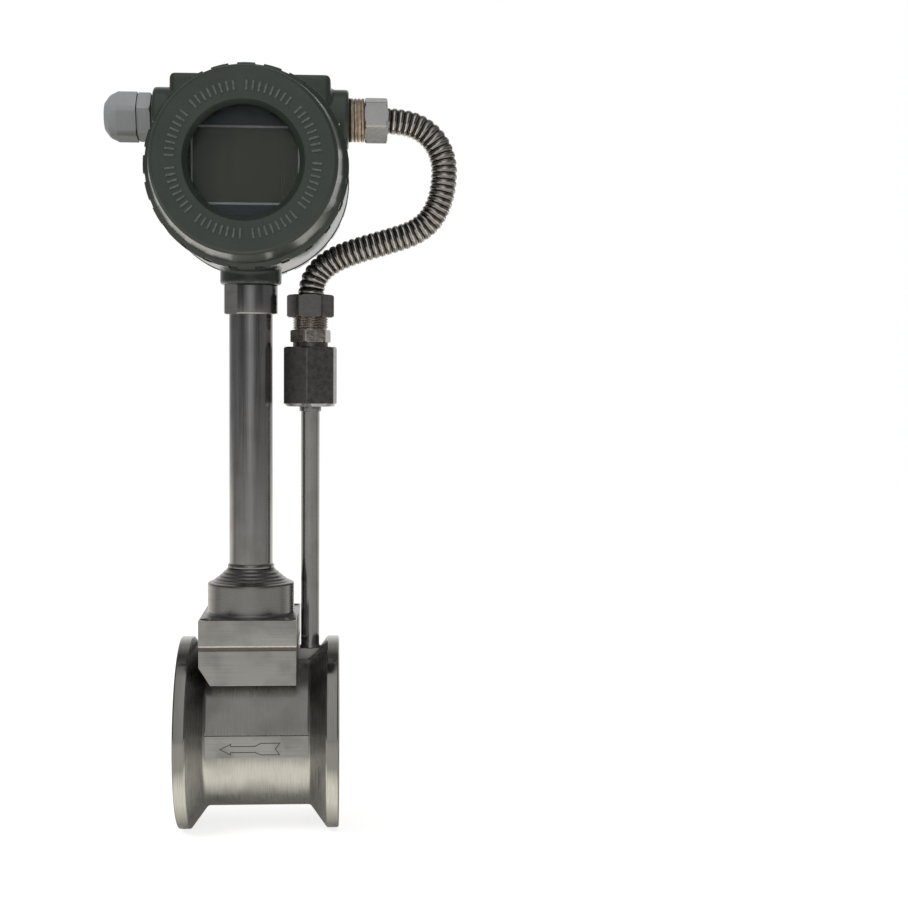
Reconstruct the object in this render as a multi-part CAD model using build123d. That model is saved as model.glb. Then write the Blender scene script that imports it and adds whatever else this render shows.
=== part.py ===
# Wafer vortex flow meter with a display head and a pressure tapping.
# Millimetres. The origin is the middle of the pipe bore. X runs along the pipe, against the flow,
# Y runs away from the display, and Z is up the stem.
from build123d import *
from math import cos, pi, radians, sin, sqrt, tan
import os

os.makedirs("parts", exist_ok=True)

# Clearances
slip = 0.05            # between fixed turned pieces and their bores, on the radius
run_gap = 0.3          # between pieces that turn or slide past each other

# Wafer body
bore_diameter = 65.0
face_to_face = 95.0
rim_diameter = 115.0
rim_width = 7.0
cone_length = 10.0
barrel_diameter = 87.6
rim_chamfer = 0.8
flat_depth = 0.5       # milled flats on the barrel, which carry the flow arrow

# Square head of the body, under the bonnet
stem_x = -5.6          # the stem stands this far downstream of the middle
head_width = 57.0      # along X
head_depth = 74.4      # along Y
head_bottom = 34.3
head_top = 54.8
head_cut_x = 6.7       # sloped corner at the lower outlet side
head_cut_z = 10.7
head_fillet = 2.0
seat_depth = 8.0       # counterbore for the flange of the shedder bar

# Shedder bar, which hangs in the bore with the sensor inside
shedder_front = 18.0
shedder_back = 7.0
shedder_length = 20.0
shedder_flange_radius = 19.0
shedder_neck_radius = 13.9
shedder_pin_radius = 5.0
shedder_pin_length = 6.0
sensor_radius = 3.0
shedder_gasket_thick = 1.5

# Bonnet plate, boss and screws
bonnet_gasket_thick = 2.9
plate_thick = 14.8
boss_radius = 25.9
boss_height = 18.5
cone_height = 8.2
cone_top_radius = 14.4
lead_bore_radius = 8.0
screw_inset = 5.9      # from the edges of the plate
screw_radius = 3.0
screw_head_radius = 5.0
screw_head_height = 6.0
screw_grip = 12.0      # thread in the body
socket_width = 5.0     # hexagon key, across flats
counterbore_depth = 7.2

# Stem
stem_radius = 13.0
stem_wall = 3.0
stem_length = 169.9    # from the bonnet to the neck of the housing
stem_collar_radius = 16.0
stem_collar_height = 17.6
wrench_flat = 29.4     # across the flats of the collar
spigot_length = 14.0
weld_radius = 0.9
neck_ring_cord = 0.95
neck_groove_depth = 1.8
neck_groove_width = 2.1
collar_flat_turn = 40.0

# Pressure tapping: lug, tube, sensor coupling and union adapter
tap_x = 29.8
tap_y = 5.0
lug_top = 50.5
lug_height = 8.5
tube_radius = 5.6
tube_wall = 1.8
coupling_drop = 72.4   # from the neck of the housing down to the foot of the coupling
tube_collar_radius = 6.6
tube_collar_height = 3.0
tube_entry = 8.0       # length of tube inside the coupling
port_radius = 2.0
coupling_flats = 30.0
coupling_length = 35.8
coupling_turn = 23.5   # degrees about Z
coupling_neck_radius = 10.6
coupling_neck_length = 2.7
chamber_radius = 9.0
capsule_length = 17.0
adapter_flats = 22.0
adapter_hex_length = 7.4
adapter_thread_length = 13.6
adapter_spigot_length = 6.5
adapter_bore_radius = 6.0

# Union nuts of the hose
union_thread_radius = 10.8
union_flats = 25.0
union_length = 13.5
union_depth = 8.2      # threaded depth from the open end
union_mouth_radius = 9.2
thrust_ring_length = 1.7
upper_union_turn = 20.0

# Display head
neck_radius = 18.3
head_axis_rise = 65.3  # from the bottom of the neck to the axis of the drum
drum_radius = 58.0
drum_length = 68.0
drum_bore_radius = 50.0
web_front = 4.0        # the wall between the two chambers runs from this far in front to Y 0
shoulder_width = 95.0
shoulder_rise = 59.2
shoulder_front = 8.0
shoulder_back = 28.0
shoulder_fillet = 5.0
entry_y = 10.0
entry_rise = 35.0      # above the axis of the drum
entry_boss_radius = 18.0
entry_reach = 58.2     # face of each boss from the stem axis
entry_thread_radius = 10.0
entry_thread_length = 15.0
feed_radius = 6.0
feed_offset = 24.0
set_screw_radius = 3.0

# Screwed covers
rim_radius = 58.5
rim_length = 11.0
band_radius = 55.5
front_edge_radius = 52.6
front_depth = 38.0     # from the drum to the front face
rear_depth = 25.0
face_chamfer = 1.6
spigot_reach = 12.0
cover_bore_radius = 43.0
groove_width = 3.6
ring_cord_radius = 1.5
notch_count = 12
notch_width = 8.0
notch_depth = 3.0
window_radius = 31.0
bevel_radius = 34.0
bevel_depth = 4.0
lip_depth = 5.0
glass_radius = 37.5
glass_thick = 7.5
window_gasket_thick = 0.8
retainer_thick = 4.5
retainer_bore_radius = 33.5
rear_recess_radius = 40.0
rear_recess_depth = 1.2
rear_wall = 6.0

# Display and boards
frame_radius = 41.0
frame_thick = 8.6
display_gap = 1.2      # between the display and the ring that holds the glass
lcd_width = 64.0
lcd_height = 42.0
lcd_drop = 0.8         # the middle of the panel is this far below the axis of the drum
lcd_thick = 4.0
lcd_recess = 0.5
board_thick = 1.6
display_board_radius = 40.0
main_board_radius = 44.0
board_spacing = 8.0
post_radius = 3.0
post_circle = 34.0
post_angles = (60.0, 120.0, 240.0, 300.0)
display_screw_radius = 1.5
display_screw_grip = 6.0
display_screw_head = 2.0
tall_part_height = 12.0    # transformer and capacitors on the main board
socket_height = 7.0
chip_height = 2.0

# Terminals
terminal_width = 60.0
terminal_height = 24.0
terminal_depth = 14.0
terminal_drop = 14.0   # below the axis of the drum
terminal_count = 5
terminal_pitch = 11.0
terminal_screw_radius = 2.6
terminal_slot_depth = 3.0

# Cable gland at the outlet side
gland_gasket_thick = 1.2
gland_flats = 25.6
gland_hex_length = 8.0
gland_turn = 12.0
gland_stub_radius = 11.5
gland_stub_length = 9.5
gland_bore_radius = 7.6
seal_radius = 7.2
seal_bore_radius = 5.0
seal_length = 16.0
dome_radius = 14.6
dome_length = 19.4
dome_hex_length = 11.0
dome_mouth_radius = 6.0
dome_wall = 2.4

# Hose adapter at the inlet side
adapter_gasket_thick = 0.8
brass_radius = 13.1
brass_length = 8.6
brass_thread_length = 6.2
brass_groove = 0.5
brass_groove_count = 3

# Flexible hose: corners of its route, from the end of the upper thread, less the last two, which
# stand on the lower thread
hose_radius = 8.0
hose_offsets = [
    (0.0, 0.0, 0.0),
    (12.8, 0.0, 0.0),
    (26.8, -0.3, -3.1),
    (37.1, -0.6, -11.8),
    (42.2, -1.0, -23.8),
    (42.2, -1.4, -36.9),
    (39.5, -1.8, -49.7),
    (33.5, -2.2, -60.7),
    (23.8, -2.6, -67.8),
    (11.3, -3.0, -72.0),
    (-13.7, -3.8, -79.6),
    (-27.2, -4.4, -85.8),
    (-35.2, -4.8, -93.5),
]
hose_straight = 10.1   # straight run out of the lower nut

# Places that follow from the sizes
plate_bottom = head_top + bonnet_gasket_thick
plate_top = plate_bottom + plate_thick
boss_top = plate_top + boss_height
bonnet_top = boss_top + cone_height
stem_top = bonnet_top + stem_length
drum_z = stem_top + head_axis_rise
entry_z = drum_z + entry_rise
drum_half = drum_length / 2
coupling_bottom = stem_top - coupling_drop
coupling_top = coupling_bottom + coupling_length
adapter_bottom = coupling_top + coupling_neck_length
adapter_thread_bottom = adapter_bottom + adapter_hex_length
adapter_top = adapter_thread_bottom + adapter_thread_length
brass_start = stem_x + entry_reach + adapter_gasket_thick
brass_thread_start = brass_start + brass_length
brass_end = brass_thread_start + brass_thread_length
spigot_radius = drum_bore_radius - run_gap
glass_top = drum_half + front_depth - lip_depth - window_gasket_thick
retainer_bottom = glass_top - glass_thick - retainer_thick
frame_front = retainer_bottom - display_gap
frame_back = frame_front - frame_thick
display_board_back = frame_back - board_thick
main_board_back = web_front + board_spacing
main_board_front = main_board_back + board_thick


# Shapes and places

def turned(profile):
    """A solid of revolution about Z from (radius, height) corners."""
    outline = make_face(Polyline([(r, 0, h) for r, h in profile], close=True))
    return revolve(outline, Axis.Z)


def placed(shape, origin, direction=(0, 0, 1), x_dir=None):
    """The shape with its own Z turned to the direction, standing on the origin."""
    return Plane(origin=origin, x_dir=x_dir, z_dir=direction) * shape


def rod(radius, bottom, top):
    """A cylinder about Z between two heights."""
    return Pos(0, 0, bottom) * Cylinder(radius, top - bottom, align=(Align.CENTER, Align.CENTER, Align.MIN))


def ring(outer, inner, bottom, top):
    return rod(outer, bottom, top) - rod(inner, bottom - 1, top + 1)


def block(x0, x1, y0, y1, z0, z1):
    middle = ((x0 + x1) / 2, (y0 + y1) / 2, (z0 + z1) / 2)
    return Pos(*middle) * Box(x1 - x0, y1 - y0, z1 - z0)


def hexagon(flats, bottom, top, turn=0.0, chamfer_size=1.2):
    """A hexagonal prism about Z with its corners turned off at both ends."""
    corner = flats / 2 / cos(radians(30))
    prism = Pos(0, 0, bottom) * extrude(Rot(0, 0, turn) * RegularPolygon(corner, 6), top - bottom)
    reach = corner + 0.01
    turned_end = turned([
        (0, bottom),
        (reach - chamfer_size, bottom),
        (reach, bottom + chamfer_size * tan(radians(30))),
        (reach, top - chamfer_size * tan(radians(30))),
        (reach - chamfer_size, top),
        (0, top),
    ])
    return prism & turned_end


def from_front(shape):
    """Turns Z of a piece to point out of the display face, on the axis of the drum."""
    return placed(shape, (stem_x, 0, drum_z), (0, -1, 0), (1, 0, 0))


def from_back(shape):
    return placed(shape, (stem_x, 0, drum_z), (0, 1, 0), (-1, 0, 0))


def to_inlet(shape, x):
    """Turns Z of a piece along +X on the axis of the cable entries."""
    return placed(shape, (x, entry_y, entry_z), (1, 0, 0), (0, 1, 0))


def to_outlet(shape, x):
    return placed(shape, (x, entry_y, entry_z), (-1, 0, 0), (0, -1, 0))


def on_stem(shape):
    return Pos(stem_x, 0, 0) * shape


def on_tap(shape):
    return Pos(tap_x, tap_y, 0) * shape


def screw_places():
    """Corners of the bonnet plate where the screws stand."""
    across = head_width / 2 - screw_inset
    along = head_depth / 2 - screw_inset
    return [(stem_x + sx * across, sy * along) for sx in (-1, 1) for sy in (-1, 1)]


def post_places():
    """Posts of the display, about the axis of the drum."""
    return [(post_circle * cos(radians(a)), post_circle * sin(radians(a))) for a in post_angles]


# Wafer body and what hangs in it

def make_meter_body():
    half = face_to_face / 2
    rim = rim_diameter / 2
    barrel = barrel_diameter / 2
    rim_inside = half - rim_width
    barrel_end = rim_inside - cone_length
    bore = bore_diameter / 2
    profile = [
        (bore, -half),
        (rim - rim_chamfer, -half),
        (rim, -half + rim_chamfer),
        (rim, -rim_inside),
        (barrel, -barrel_end),
        (barrel, barrel_end),
        (rim, rim_inside),
        (rim, half - rim_chamfer),
        (rim - rim_chamfer, half),
        (bore, half),
    ]
    body = placed(turned(profile), (0, 0, 0), (1, 0, 0), (0, 1, 0))
    flat_y = barrel - flat_depth
    for side in (-1, 1):
        near, far = sorted((side * flat_y, side * (barrel + 1)))
        body -= block(-barrel_end, barrel_end, near, far, -barrel / 2, barrel / 2)
    body += make_square_head()
    body += make_lug()
    body -= placed(rod(bore, -half, half), (0, 0, 0), (1, 0, 0), (0, 1, 0))
    body -= on_stem(rod(shedder_flange_radius + run_gap, head_top - seat_depth, head_top + 1))
    body -= on_stem(rod(shedder_neck_radius + run_gap, 0, head_top))
    socket_end = bore + shedder_pin_length + run_gap
    body -= on_stem(rod(shedder_pin_radius + slip, -socket_end, 0))
    for x, y in screw_places():
        body -= Pos(x, y, 0) * rod(screw_radius + slip, head_top - screw_grip - 2, head_top + 1)
    tap_level = lug_top - lug_height / 2
    drop_x = stem_x + head_width / 2 - 4
    body -= on_tap(rod(port_radius, tap_level, lug_top + 1))
    body -= placed(rod(port_radius, 0, tap_x - drop_x), (drop_x, tap_y, tap_level), (1, 0, 0))
    body -= Pos(drop_x, tap_y, 0) * rod(port_radius, 0, tap_level)
    return body


def make_square_head():
    """The flange under the bonnet, with one lower corner sloped and the other rounded."""
    left = stem_x - head_width / 2
    right = stem_x + head_width / 2
    outline = Polyline(
        (left, 0, head_top),
        (left, 0, head_bottom + head_cut_z),
        (left + head_cut_x, 0, head_bottom),
        (right, 0, head_bottom),
        (right, 0, head_top),
        close=True,
    )
    head = Pos(0, head_depth / 2, 0) * extrude(make_face(outline), head_depth, dir=(0, -1, 0))
    lower = head.edges().filter_by(Axis.Y).group_by(Axis.Z)[0].sort_by(Axis.X)[-1]
    head = fillet(lower, head_fillet)
    core = block(left, right, -head_depth / 4, head_depth / 4, 0, head_bottom)
    barrel = barrel_diameter / 2
    return head + (core & placed(rod(barrel, left, right), (0, 0, 0), (1, 0, 0)))


def make_lug():
    """The small elbow on the head that carries the tapping tube."""
    left = stem_x + head_width / 2 - 1
    bottom = lug_top - lug_height
    reach = tap_x + tube_radius + 0.2
    outline = Polyline(
        (left, 0, lug_top),
        (left, 0, bottom),
        (tap_x - tube_radius / 2, 0, bottom),
        (reach, 0, lug_top - lug_height / 4),
        (reach, 0, lug_top),
        close=True,
    )
    width = 2 * tube_radius + 0.4
    side = Pos(0, tap_y + width / 2, 0) * extrude(make_face(outline), width, dir=(0, -1, 0))
    plan = block(left, tap_x, tap_y - width / 2, tap_y + width / 2, bottom, lug_top)
    plan += on_tap(rod(width / 2, bottom, lug_top))
    return side & plan


def make_shedder_bar():
    """A flanged plug that carries the wedge-shaped bar, hollow for the sensor."""
    seat = head_top - seat_depth + shedder_gasket_thick
    bore = bore_diameter / 2
    end = sqrt(bore ** 2 - (shedder_front / 2) ** 2) - 0.2
    front_x = shedder_length / 2
    wedge = make_face(Polyline(
        (front_x, -shedder_front / 2),
        (front_x, shedder_front / 2),
        (-front_x, shedder_back / 2),
        (-front_x, -shedder_back / 2),
        close=True,
    ))
    bar = Pos(0, 0, -end) * extrude(wedge, end + bore, dir=(0, 0, 1))
    bar += rod(shedder_neck_radius, bore, seat + 1)
    bar += rod(shedder_flange_radius, seat, plate_bottom)
    bar += rod(shedder_pin_radius, -bore - shedder_pin_length, -end)
    bar -= rod(sensor_radius + slip, -end / 2, plate_bottom + 1)
    return on_stem(bar)


def make_piezo_sensor():
    bottom = -(sqrt((bore_diameter / 2) ** 2 - (shedder_front / 2) ** 2) - 0.2) / 2
    probe = rod(sensor_radius, bottom, plate_bottom)
    probe += rod(lead_bore_radius - run_gap, plate_bottom, plate_bottom + 3)
    return on_stem(probe)


def make_shedder_gasket():
    bottom = head_top - seat_depth
    seal = ring(shedder_flange_radius, shedder_neck_radius + run_gap, bottom, bottom + shedder_gasket_thick)
    return on_stem(seal)


def plate_outline(inset, bottom, top):
    across = head_width / 2 - inset
    along = head_depth / 2 - inset
    return block(stem_x - across, stem_x + across, -along, along, bottom, top)


def make_bonnet_gasket():
    gasket = plate_outline(run_gap, head_top, plate_bottom)
    gasket -= on_stem(rod(shedder_flange_radius + run_gap, head_top - 1, plate_bottom + 1))
    for x, y in screw_places():
        gasket -= Pos(x, y, 0) * rod(screw_radius + run_gap, head_top - 1, plate_bottom + 1)
    return gasket


def make_bonnet():
    """The square plate with its turned boss and welding cone."""
    plate = plate_outline(0, plate_bottom, plate_top)
    plate = chamfer(plate.edges().group_by(Axis.Z)[-1], 0.5)
    boss = turned([
        (lead_bore_radius, plate_bottom),
        (boss_radius, plate_bottom),
        (boss_radius, boss_top - 2),
        (boss_radius - 1, boss_top),
        (cone_top_radius + 2, bonnet_top - 1.5),
        (cone_top_radius, bonnet_top),
        (lead_bore_radius, bonnet_top),
    ])
    bonnet = plate + on_stem(boss)
    bonnet -= on_stem(rod(lead_bore_radius, plate_bottom - 1, bonnet_top + 1))
    for x, y in screw_places():
        bonnet -= Pos(x, y, 0) * rod(screw_radius + run_gap, plate_bottom - 1, plate_top + 1)
        bonnet -= Pos(x, y, 0) * rod(screw_head_radius + run_gap, plate_top - counterbore_depth, plate_top + 1)
    return bonnet


def socket_screw(head_bottom_z, shank_bottom):
    head_top_z = head_bottom_z + screw_head_height
    screw = rod(screw_head_radius, head_bottom_z, head_top_z) + rod(screw_radius, shank_bottom, head_bottom_z)
    key = Pos(0, 0, head_top_z - screw_head_height / 2) * extrude(
        RegularPolygon(socket_width / 2 / cos(radians(30)), 6), screw_head_height)
    return screw - key


def make_bonnet_screws():
    seat = plate_top - counterbore_depth
    return [Pos(x, y, 0) * socket_screw(seat, head_top - screw_grip) for x, y in screw_places()]


# Stem

def make_stem_tube():
    """The tube from the bonnet into the neck of the head, with its weld bead and seal groove."""
    top = stem_top + spigot_length
    inner = stem_radius - stem_wall
    bead_top = bonnet_top + 2 * weld_radius
    groove_bottom = stem_top + spigot_length / 2 - neck_groove_width / 2
    groove_top = groove_bottom + neck_groove_width
    groove_radius = stem_radius - neck_groove_depth
    profile = [
        (inner, bonnet_top),
        (stem_radius + weld_radius, bonnet_top),
        (stem_radius + weld_radius, bonnet_top + weld_radius),
        (stem_radius, bead_top),
        (stem_radius, groove_bottom),
        (groove_radius, groove_bottom),
        (groove_radius, groove_top),
        (stem_radius, groove_top),
        (stem_radius, top - 1),
        (stem_radius - 1, top),
        (inner, top),
    ]
    return on_stem(turned(profile))


def make_neck_o_ring():
    level = stem_top + spigot_length / 2
    radius = stem_radius - neck_groove_depth + neck_ring_cord + slip
    return on_stem(Pos(0, 0, level) * Torus(radius, neck_ring_cord))


def make_stem_collar():
    """The turned collar under the head, with two milled wrench flats."""
    bottom = stem_top - stem_collar_height
    collar = turned([
        (stem_radius + slip, bottom),
        (stem_collar_radius - 0.6, bottom),
        (stem_collar_radius, bottom + 0.6),
        (stem_collar_radius, stem_top - 0.6),
        (stem_collar_radius - 0.6, stem_top),
        (stem_radius + slip, stem_top),
    ])
    flats = Box(wrench_flat, 3 * stem_collar_radius, 3 * stem_collar_height)
    flats = Rot(0, 0, collar_flat_turn) * flats
    return on_stem(collar & Pos(0, 0, bottom) * flats)


# Pressure tapping

def make_impulse_tube():
    bottom = lug_top
    top = coupling_bottom + tube_entry
    tube = rod(tube_radius, bottom, top)
    tube += turned([
        (0, coupling_bottom - tube_collar_height),
        (tube_collar_radius - 0.5, coupling_bottom - tube_collar_height),
        (tube_collar_radius, coupling_bottom - tube_collar_height + 0.5),
        (tube_collar_radius, coupling_bottom),
        (0, coupling_bottom),
    ])
    tube -= rod(tube_radius - tube_wall, bottom - 1, top + 1)
    return on_tap(tube)


def make_pressure_coupling():
    """The long hexagon that holds the pressure sensor above the tube."""
    body = hexagon(coupling_flats, coupling_bottom, coupling_top, coupling_turn)
    body += rod(coupling_neck_radius, coupling_top, adapter_bottom)
    chamber_floor = adapter_bottom - adapter_spigot_length - capsule_length - run_gap
    body -= rod(tube_radius + slip, coupling_bottom - 1, coupling_bottom + tube_entry)
    body -= rod(port_radius, coupling_bottom, chamber_floor + 1)
    body -= rod(chamber_radius, chamber_floor, adapter_bottom + 1)
    return on_tap(body)


def make_pressure_sensor():
    bottom = adapter_bottom - adapter_spigot_length - capsule_length - run_gap
    capsule = turned([
        (0, bottom),
        (chamber_radius - run_gap, bottom),
        (chamber_radius - run_gap, bottom + 0.7 * capsule_length),
        (0.6 * chamber_radius, bottom + 0.75 * capsule_length),
        (0.6 * chamber_radius, bottom + capsule_length),
        (0, bottom + capsule_length),
    ])
    return on_tap(capsule)


def make_union_adapter():
    """The hexagonal adapter between the coupling and the lower union nut."""
    body = hexagon(adapter_flats, adapter_bottom, adapter_thread_bottom, 15, 0.8)
    body += rod(chamber_radius - slip, adapter_bottom - adapter_spigot_length, adapter_bottom)
    body += turned([
        (0, adapter_thread_bottom),
        (union_thread_radius, adapter_thread_bottom),
        (union_thread_radius, adapter_top - 1),
        (union_thread_radius - 1, adapter_top),
        (0, adapter_top),
    ])
    body -= rod(adapter_bore_radius, adapter_bottom - adapter_spigot_length - 1, adapter_top + 1)
    return on_tap(body)


# Hose and its union nuts. Each nut is drawn with its open end at Z 0.

def union_nut(turn):
    nut = hexagon(union_flats, 0, union_length, turn)
    nut -= rod(union_thread_radius + run_gap, -1, union_depth)
    nut -= rod(union_mouth_radius, 0, union_length + 1)
    return nut


def thrust_ring():
    return ring(union_thread_radius - run_gap, hose_radius + run_gap, 0, thrust_ring_length)


def make_hose():
    """A plain tube along the route, bent at each corner as wide as its two runs allow."""
    corners = [Vector(brass_end + x, entry_y + y, entry_z + z) for x, y, z in hose_offsets]
    corners.append(Vector(tap_x, tap_y, adapter_top + hose_straight))
    corners.append(Vector(tap_x, tap_y, adapter_top))
    radii = []
    for before, here, after in zip(corners, corners[1:], corners[2:]):
        arriving = here - before
        leaving = after - here
        half_turn = radians(arriving.get_angle(leaving)) / 2
        shorter = min(arriving.length, leaving.length)
        radii.append(0.45 * shorter / tan(half_turn))
    print("hose bend radii", [round(r, 1) for r in radii])
    route = FilletPolyline(*corners, radius=radii)
    section = Plane(origin=corners[0], z_dir=corners[1] - corners[0]) * Circle(hose_radius)
    tube = sweep(section, route)
    print("hose length", round(route.length, 2))
    print("hose volume over section times length", round(tube.volume / (pi * hose_radius ** 2 * route.length), 5))
    return tube


def lower_nut_place():
    shoulder = adapter_top + 2 * run_gap + thrust_ring_length
    return shoulder - union_depth


def upper_nut_place():
    shoulder = brass_end + 2 * run_gap + thrust_ring_length
    return shoulder - union_depth


# Display head

def make_housing():
    """The cast drum with its two chambers, shoulder, cable entries and neck."""
    drum = from_front(rod(drum_radius, -drum_half, drum_half))
    drum = chamfer(drum.edges().filter_by(GeomType.CIRCLE), 1.0)
    shoulder = block(stem_x - shoulder_width / 2, stem_x + shoulder_width / 2,
                     -shoulder_front, shoulder_back, drum_z, drum_z + shoulder_rise)
    shoulder = fillet(shoulder.edges().filter_by(Axis.Y).group_by(Axis.Z)[-1], shoulder_fillet)
    housing = drum + shoulder
    boss = turned([
        (0, 0),
        (entry_boss_radius, 0),
        (entry_boss_radius, entry_reach - 1),
        (entry_boss_radius - 1, entry_reach),
        (0, entry_reach),
    ])
    housing += to_inlet(boss, stem_x)
    housing += to_outlet(boss, stem_x)
    housing += on_stem(turned([
        (0, stem_top),
        (neck_radius - 1, stem_top),
        (neck_radius, stem_top + 1),
        (neck_radius, drum_z - drum_bore_radius + 4),
        (0, drum_z - drum_bore_radius + 4),
    ]))
    housing -= from_front(rod(drum_bore_radius, web_front, drum_half + 1))
    housing -= from_back(rod(drum_bore_radius, 0, drum_half + 1))
    for entry in (to_inlet, to_outlet):
        inner = sqrt(drum_bore_radius ** 2 - (entry_rise + entry_thread_radius) ** 2) - 2
        housing -= entry(rod(entry_thread_radius, inner, entry_reach + 1), stem_x)
    spigot_top = stem_top + spigot_length
    housing -= on_stem(rod(stem_radius + 4 * slip, stem_top - 1, spigot_top + run_gap))
    housing -= on_stem(rod(lead_bore_radius, stem_top, drum_z - drum_bore_radius + 6))
    housing -= from_front(Pos(0, feed_offset, 0) * rod(feed_radius, -1, web_front + 1))
    set_screw = placed(rod(set_screw_radius + slip, 0, neck_radius + 1), set_screw_place(), (0, 1, 0))
    return housing - set_screw


def set_screw_place():
    return (stem_x, 0, stem_top + spigot_length / 4)


def make_housing_set_screw():
    screw = rod(set_screw_radius, stem_radius + slip, neck_radius - 0.3)
    key = Pos(0, 0, neck_radius - 2.5) * extrude(RegularPolygon(set_screw_radius / 2, 6), 5)
    return placed(screw - key, set_screw_place(), (0, 1, 0))


def make_feed_bushing():
    bushing = rod(feed_radius - slip, 0, web_front) + rod(feed_radius + 1.5, web_front, web_front + 2)
    for x in (-2.0, 2.0):
        bushing += Pos(x, 0, 0) * rod(0.6, -4, web_front + 4)
    return from_front(Pos(0, feed_offset, 0) * bushing)


# Covers, drawn about Z with the face of the drum at Z 0 and their outside towards +Z

def cover_shell(depth, edge_radius, cavity_top):
    """The turned outside of a cover with its notched rim, threaded spigot and seal groove."""
    groove_top = -0.6
    groove_bottom = groove_top - groove_width
    groove_radius = spigot_radius - 2 * ring_cord_radius - run_gap
    shell = turned([
        (cover_bore_radius, -spigot_reach),
        (spigot_radius - 1, -spigot_reach),
        (spigot_radius, -spigot_reach + 1),
        (spigot_radius, groove_bottom),
        (groove_radius, groove_bottom),
        (groove_radius, groove_top),
        (spigot_radius, groove_top),
        (spigot_radius, run_gap),
        (rim_radius, run_gap),
        (rim_radius, rim_length),
        (band_radius, rim_length + 1.5),
        (edge_radius, depth - face_chamfer * 2),
        (edge_radius - face_chamfer, depth),
        (0, depth),
        (0, cavity_top),
        (cover_bore_radius, cavity_top),
    ])
    notch = block(rim_radius - notch_depth, rim_radius + 5, -notch_width / 2, notch_width / 2, -1, rim_length - 1)
    for step in range(notch_count):
        shell -= Rot(0, 0, (step + 0.5) * 360 / notch_count) * notch
    return shell


def make_front_cover():
    cavity_top = retainer_bottom - drum_half
    cover = cover_shell(front_depth, front_edge_radius, cavity_top)
    cover -= rod(glass_radius + slip, cavity_top - 1, front_depth - lip_depth)
    cover -= turned([
        (0, 0),
        (window_radius, 0),
        (window_radius, front_depth - bevel_depth),
        (bevel_radius, front_depth),
        (bevel_radius, front_depth + 1),
        (0, front_depth + 1),
    ])
    return from_front(Pos(0, 0, drum_half) * cover)


def make_rear_cover():
    cover = cover_shell(rear_depth, front_edge_radius, rear_depth - rear_wall)
    cover -= rod(rear_recess_radius, rear_depth - rear_recess_depth, rear_depth + 1)
    return from_back(Pos(0, 0, drum_half) * cover)


def make_cover_ring():
    """A seal ring, drawn like the covers."""
    middle = -0.6 - groove_width / 2
    return Pos(0, 0, drum_half + middle) * Torus(spigot_radius - ring_cord_radius, ring_cord_radius)


def make_window_gasket():
    return from_front(ring(glass_radius, window_radius + 0.5, glass_top, glass_top + window_gasket_thick))


def make_window_glass():
    return from_front(rod(glass_radius, glass_top - glass_thick, glass_top))


def make_window_retainer():
    """The threaded ring behind the glass, with four slots for its key."""
    retainer = ring(glass_radius, retainer_bore_radius, retainer_bottom, retainer_bottom + retainer_thick)
    for step in range(4):
        slot = block(retainer_bore_radius - 1, glass_radius - 1.2, -1.5, 1.5,
                     retainer_bottom - 1, retainer_bottom + retainer_thick / 2)
        retainer -= Rot(0, 0, 45 + 90 * step) * slot
    return from_front(retainer)


# Display and boards

def lcd_block(margin, bottom, top):
    across = lcd_width / 2 + margin
    along = lcd_height / 2 + margin
    return block(-across, across, -lcd_drop - along, -lcd_drop + along, bottom, top)


def make_display_frame():
    """The round plate in front of the boards, with a stepped opening for the panel."""
    frame = turned([
        (0, frame_back),
        (frame_radius, frame_back),
        (frame_radius, frame_front - 1),
        (frame_radius - 1, frame_front),
        (0, frame_front),
    ])
    frame -= turned([
        (0, frame_back - 1),
        (frame_radius - 2, frame_back - 1),
        (frame_radius - 2, frame_front - lcd_thick - lcd_recess),
        (0, frame_front - lcd_thick - lcd_recess),
    ]) - lcd_block(2, frame_back - 2, frame_front)
    frame -= lcd_block(0.1, frame_front - lcd_thick - lcd_recess, frame_front + 1)
    for x, y in post_places():
        frame += Pos(x, y, 0) * rod(post_radius, frame_back, frame_front - lcd_thick)
        frame -= Pos(x, y, 0) * rod(display_screw_radius + 0.2, frame_back - 1, frame_front + 1)
        frame -= Pos(x, y, 0) * rod(2 * display_screw_radius + run_gap, frame_front - lcd_thick, frame_front + 1)
    return from_front(frame)


def make_lcd_panel():
    top = frame_front - lcd_recess
    return from_front(lcd_block(0, top - lcd_thick, top))


def board(radius, back, front):
    plate = rod(radius, back, front)
    for x, y in post_places():
        plate -= Pos(x, y, 0) * rod(display_screw_radius + 0.2, back - 1, front + 1)
    return plate


def make_display_board():
    return from_front(board(display_board_radius, display_board_back, frame_back))


def make_main_board():
    """The main board with its larger parts: transformer, capacitors, processor and sockets."""
    plate = board(main_board_radius, main_board_back, main_board_front)
    front = main_board_front
    unit = main_board_radius / 22
    plate += block(-10 * unit, 2 * unit, -12 * unit, -4 * unit, front, front + tall_part_height)
    plate += block(4 * unit, 12 * unit, -unit, 7 * unit, front, front + chip_height)
    plate += block(-11 * unit, -3 * unit, 4 * unit, 10 * unit, front, front + socket_height)
    for x in (6 * unit, 11 * unit):
        plate += Pos(x, -8 * unit, 0) * rod(2 * unit, front, front + tall_part_height)
    return from_front(plate)


def posts(bottom, top):
    """Hexagonal posts, drilled through."""
    corner = post_radius / cos(radians(30))
    shape = Pos(0, 0, bottom) * extrude(RegularPolygon(corner, 6), top - bottom)
    shape -= rod(display_screw_radius + slip, bottom - 1, top + 1)
    return [from_front(Pos(x, y, 0) * shape) for x, y in post_places()]


def make_board_posts():
    return posts(web_front, main_board_back)


def make_display_posts():
    return posts(main_board_front, display_board_back)


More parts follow.
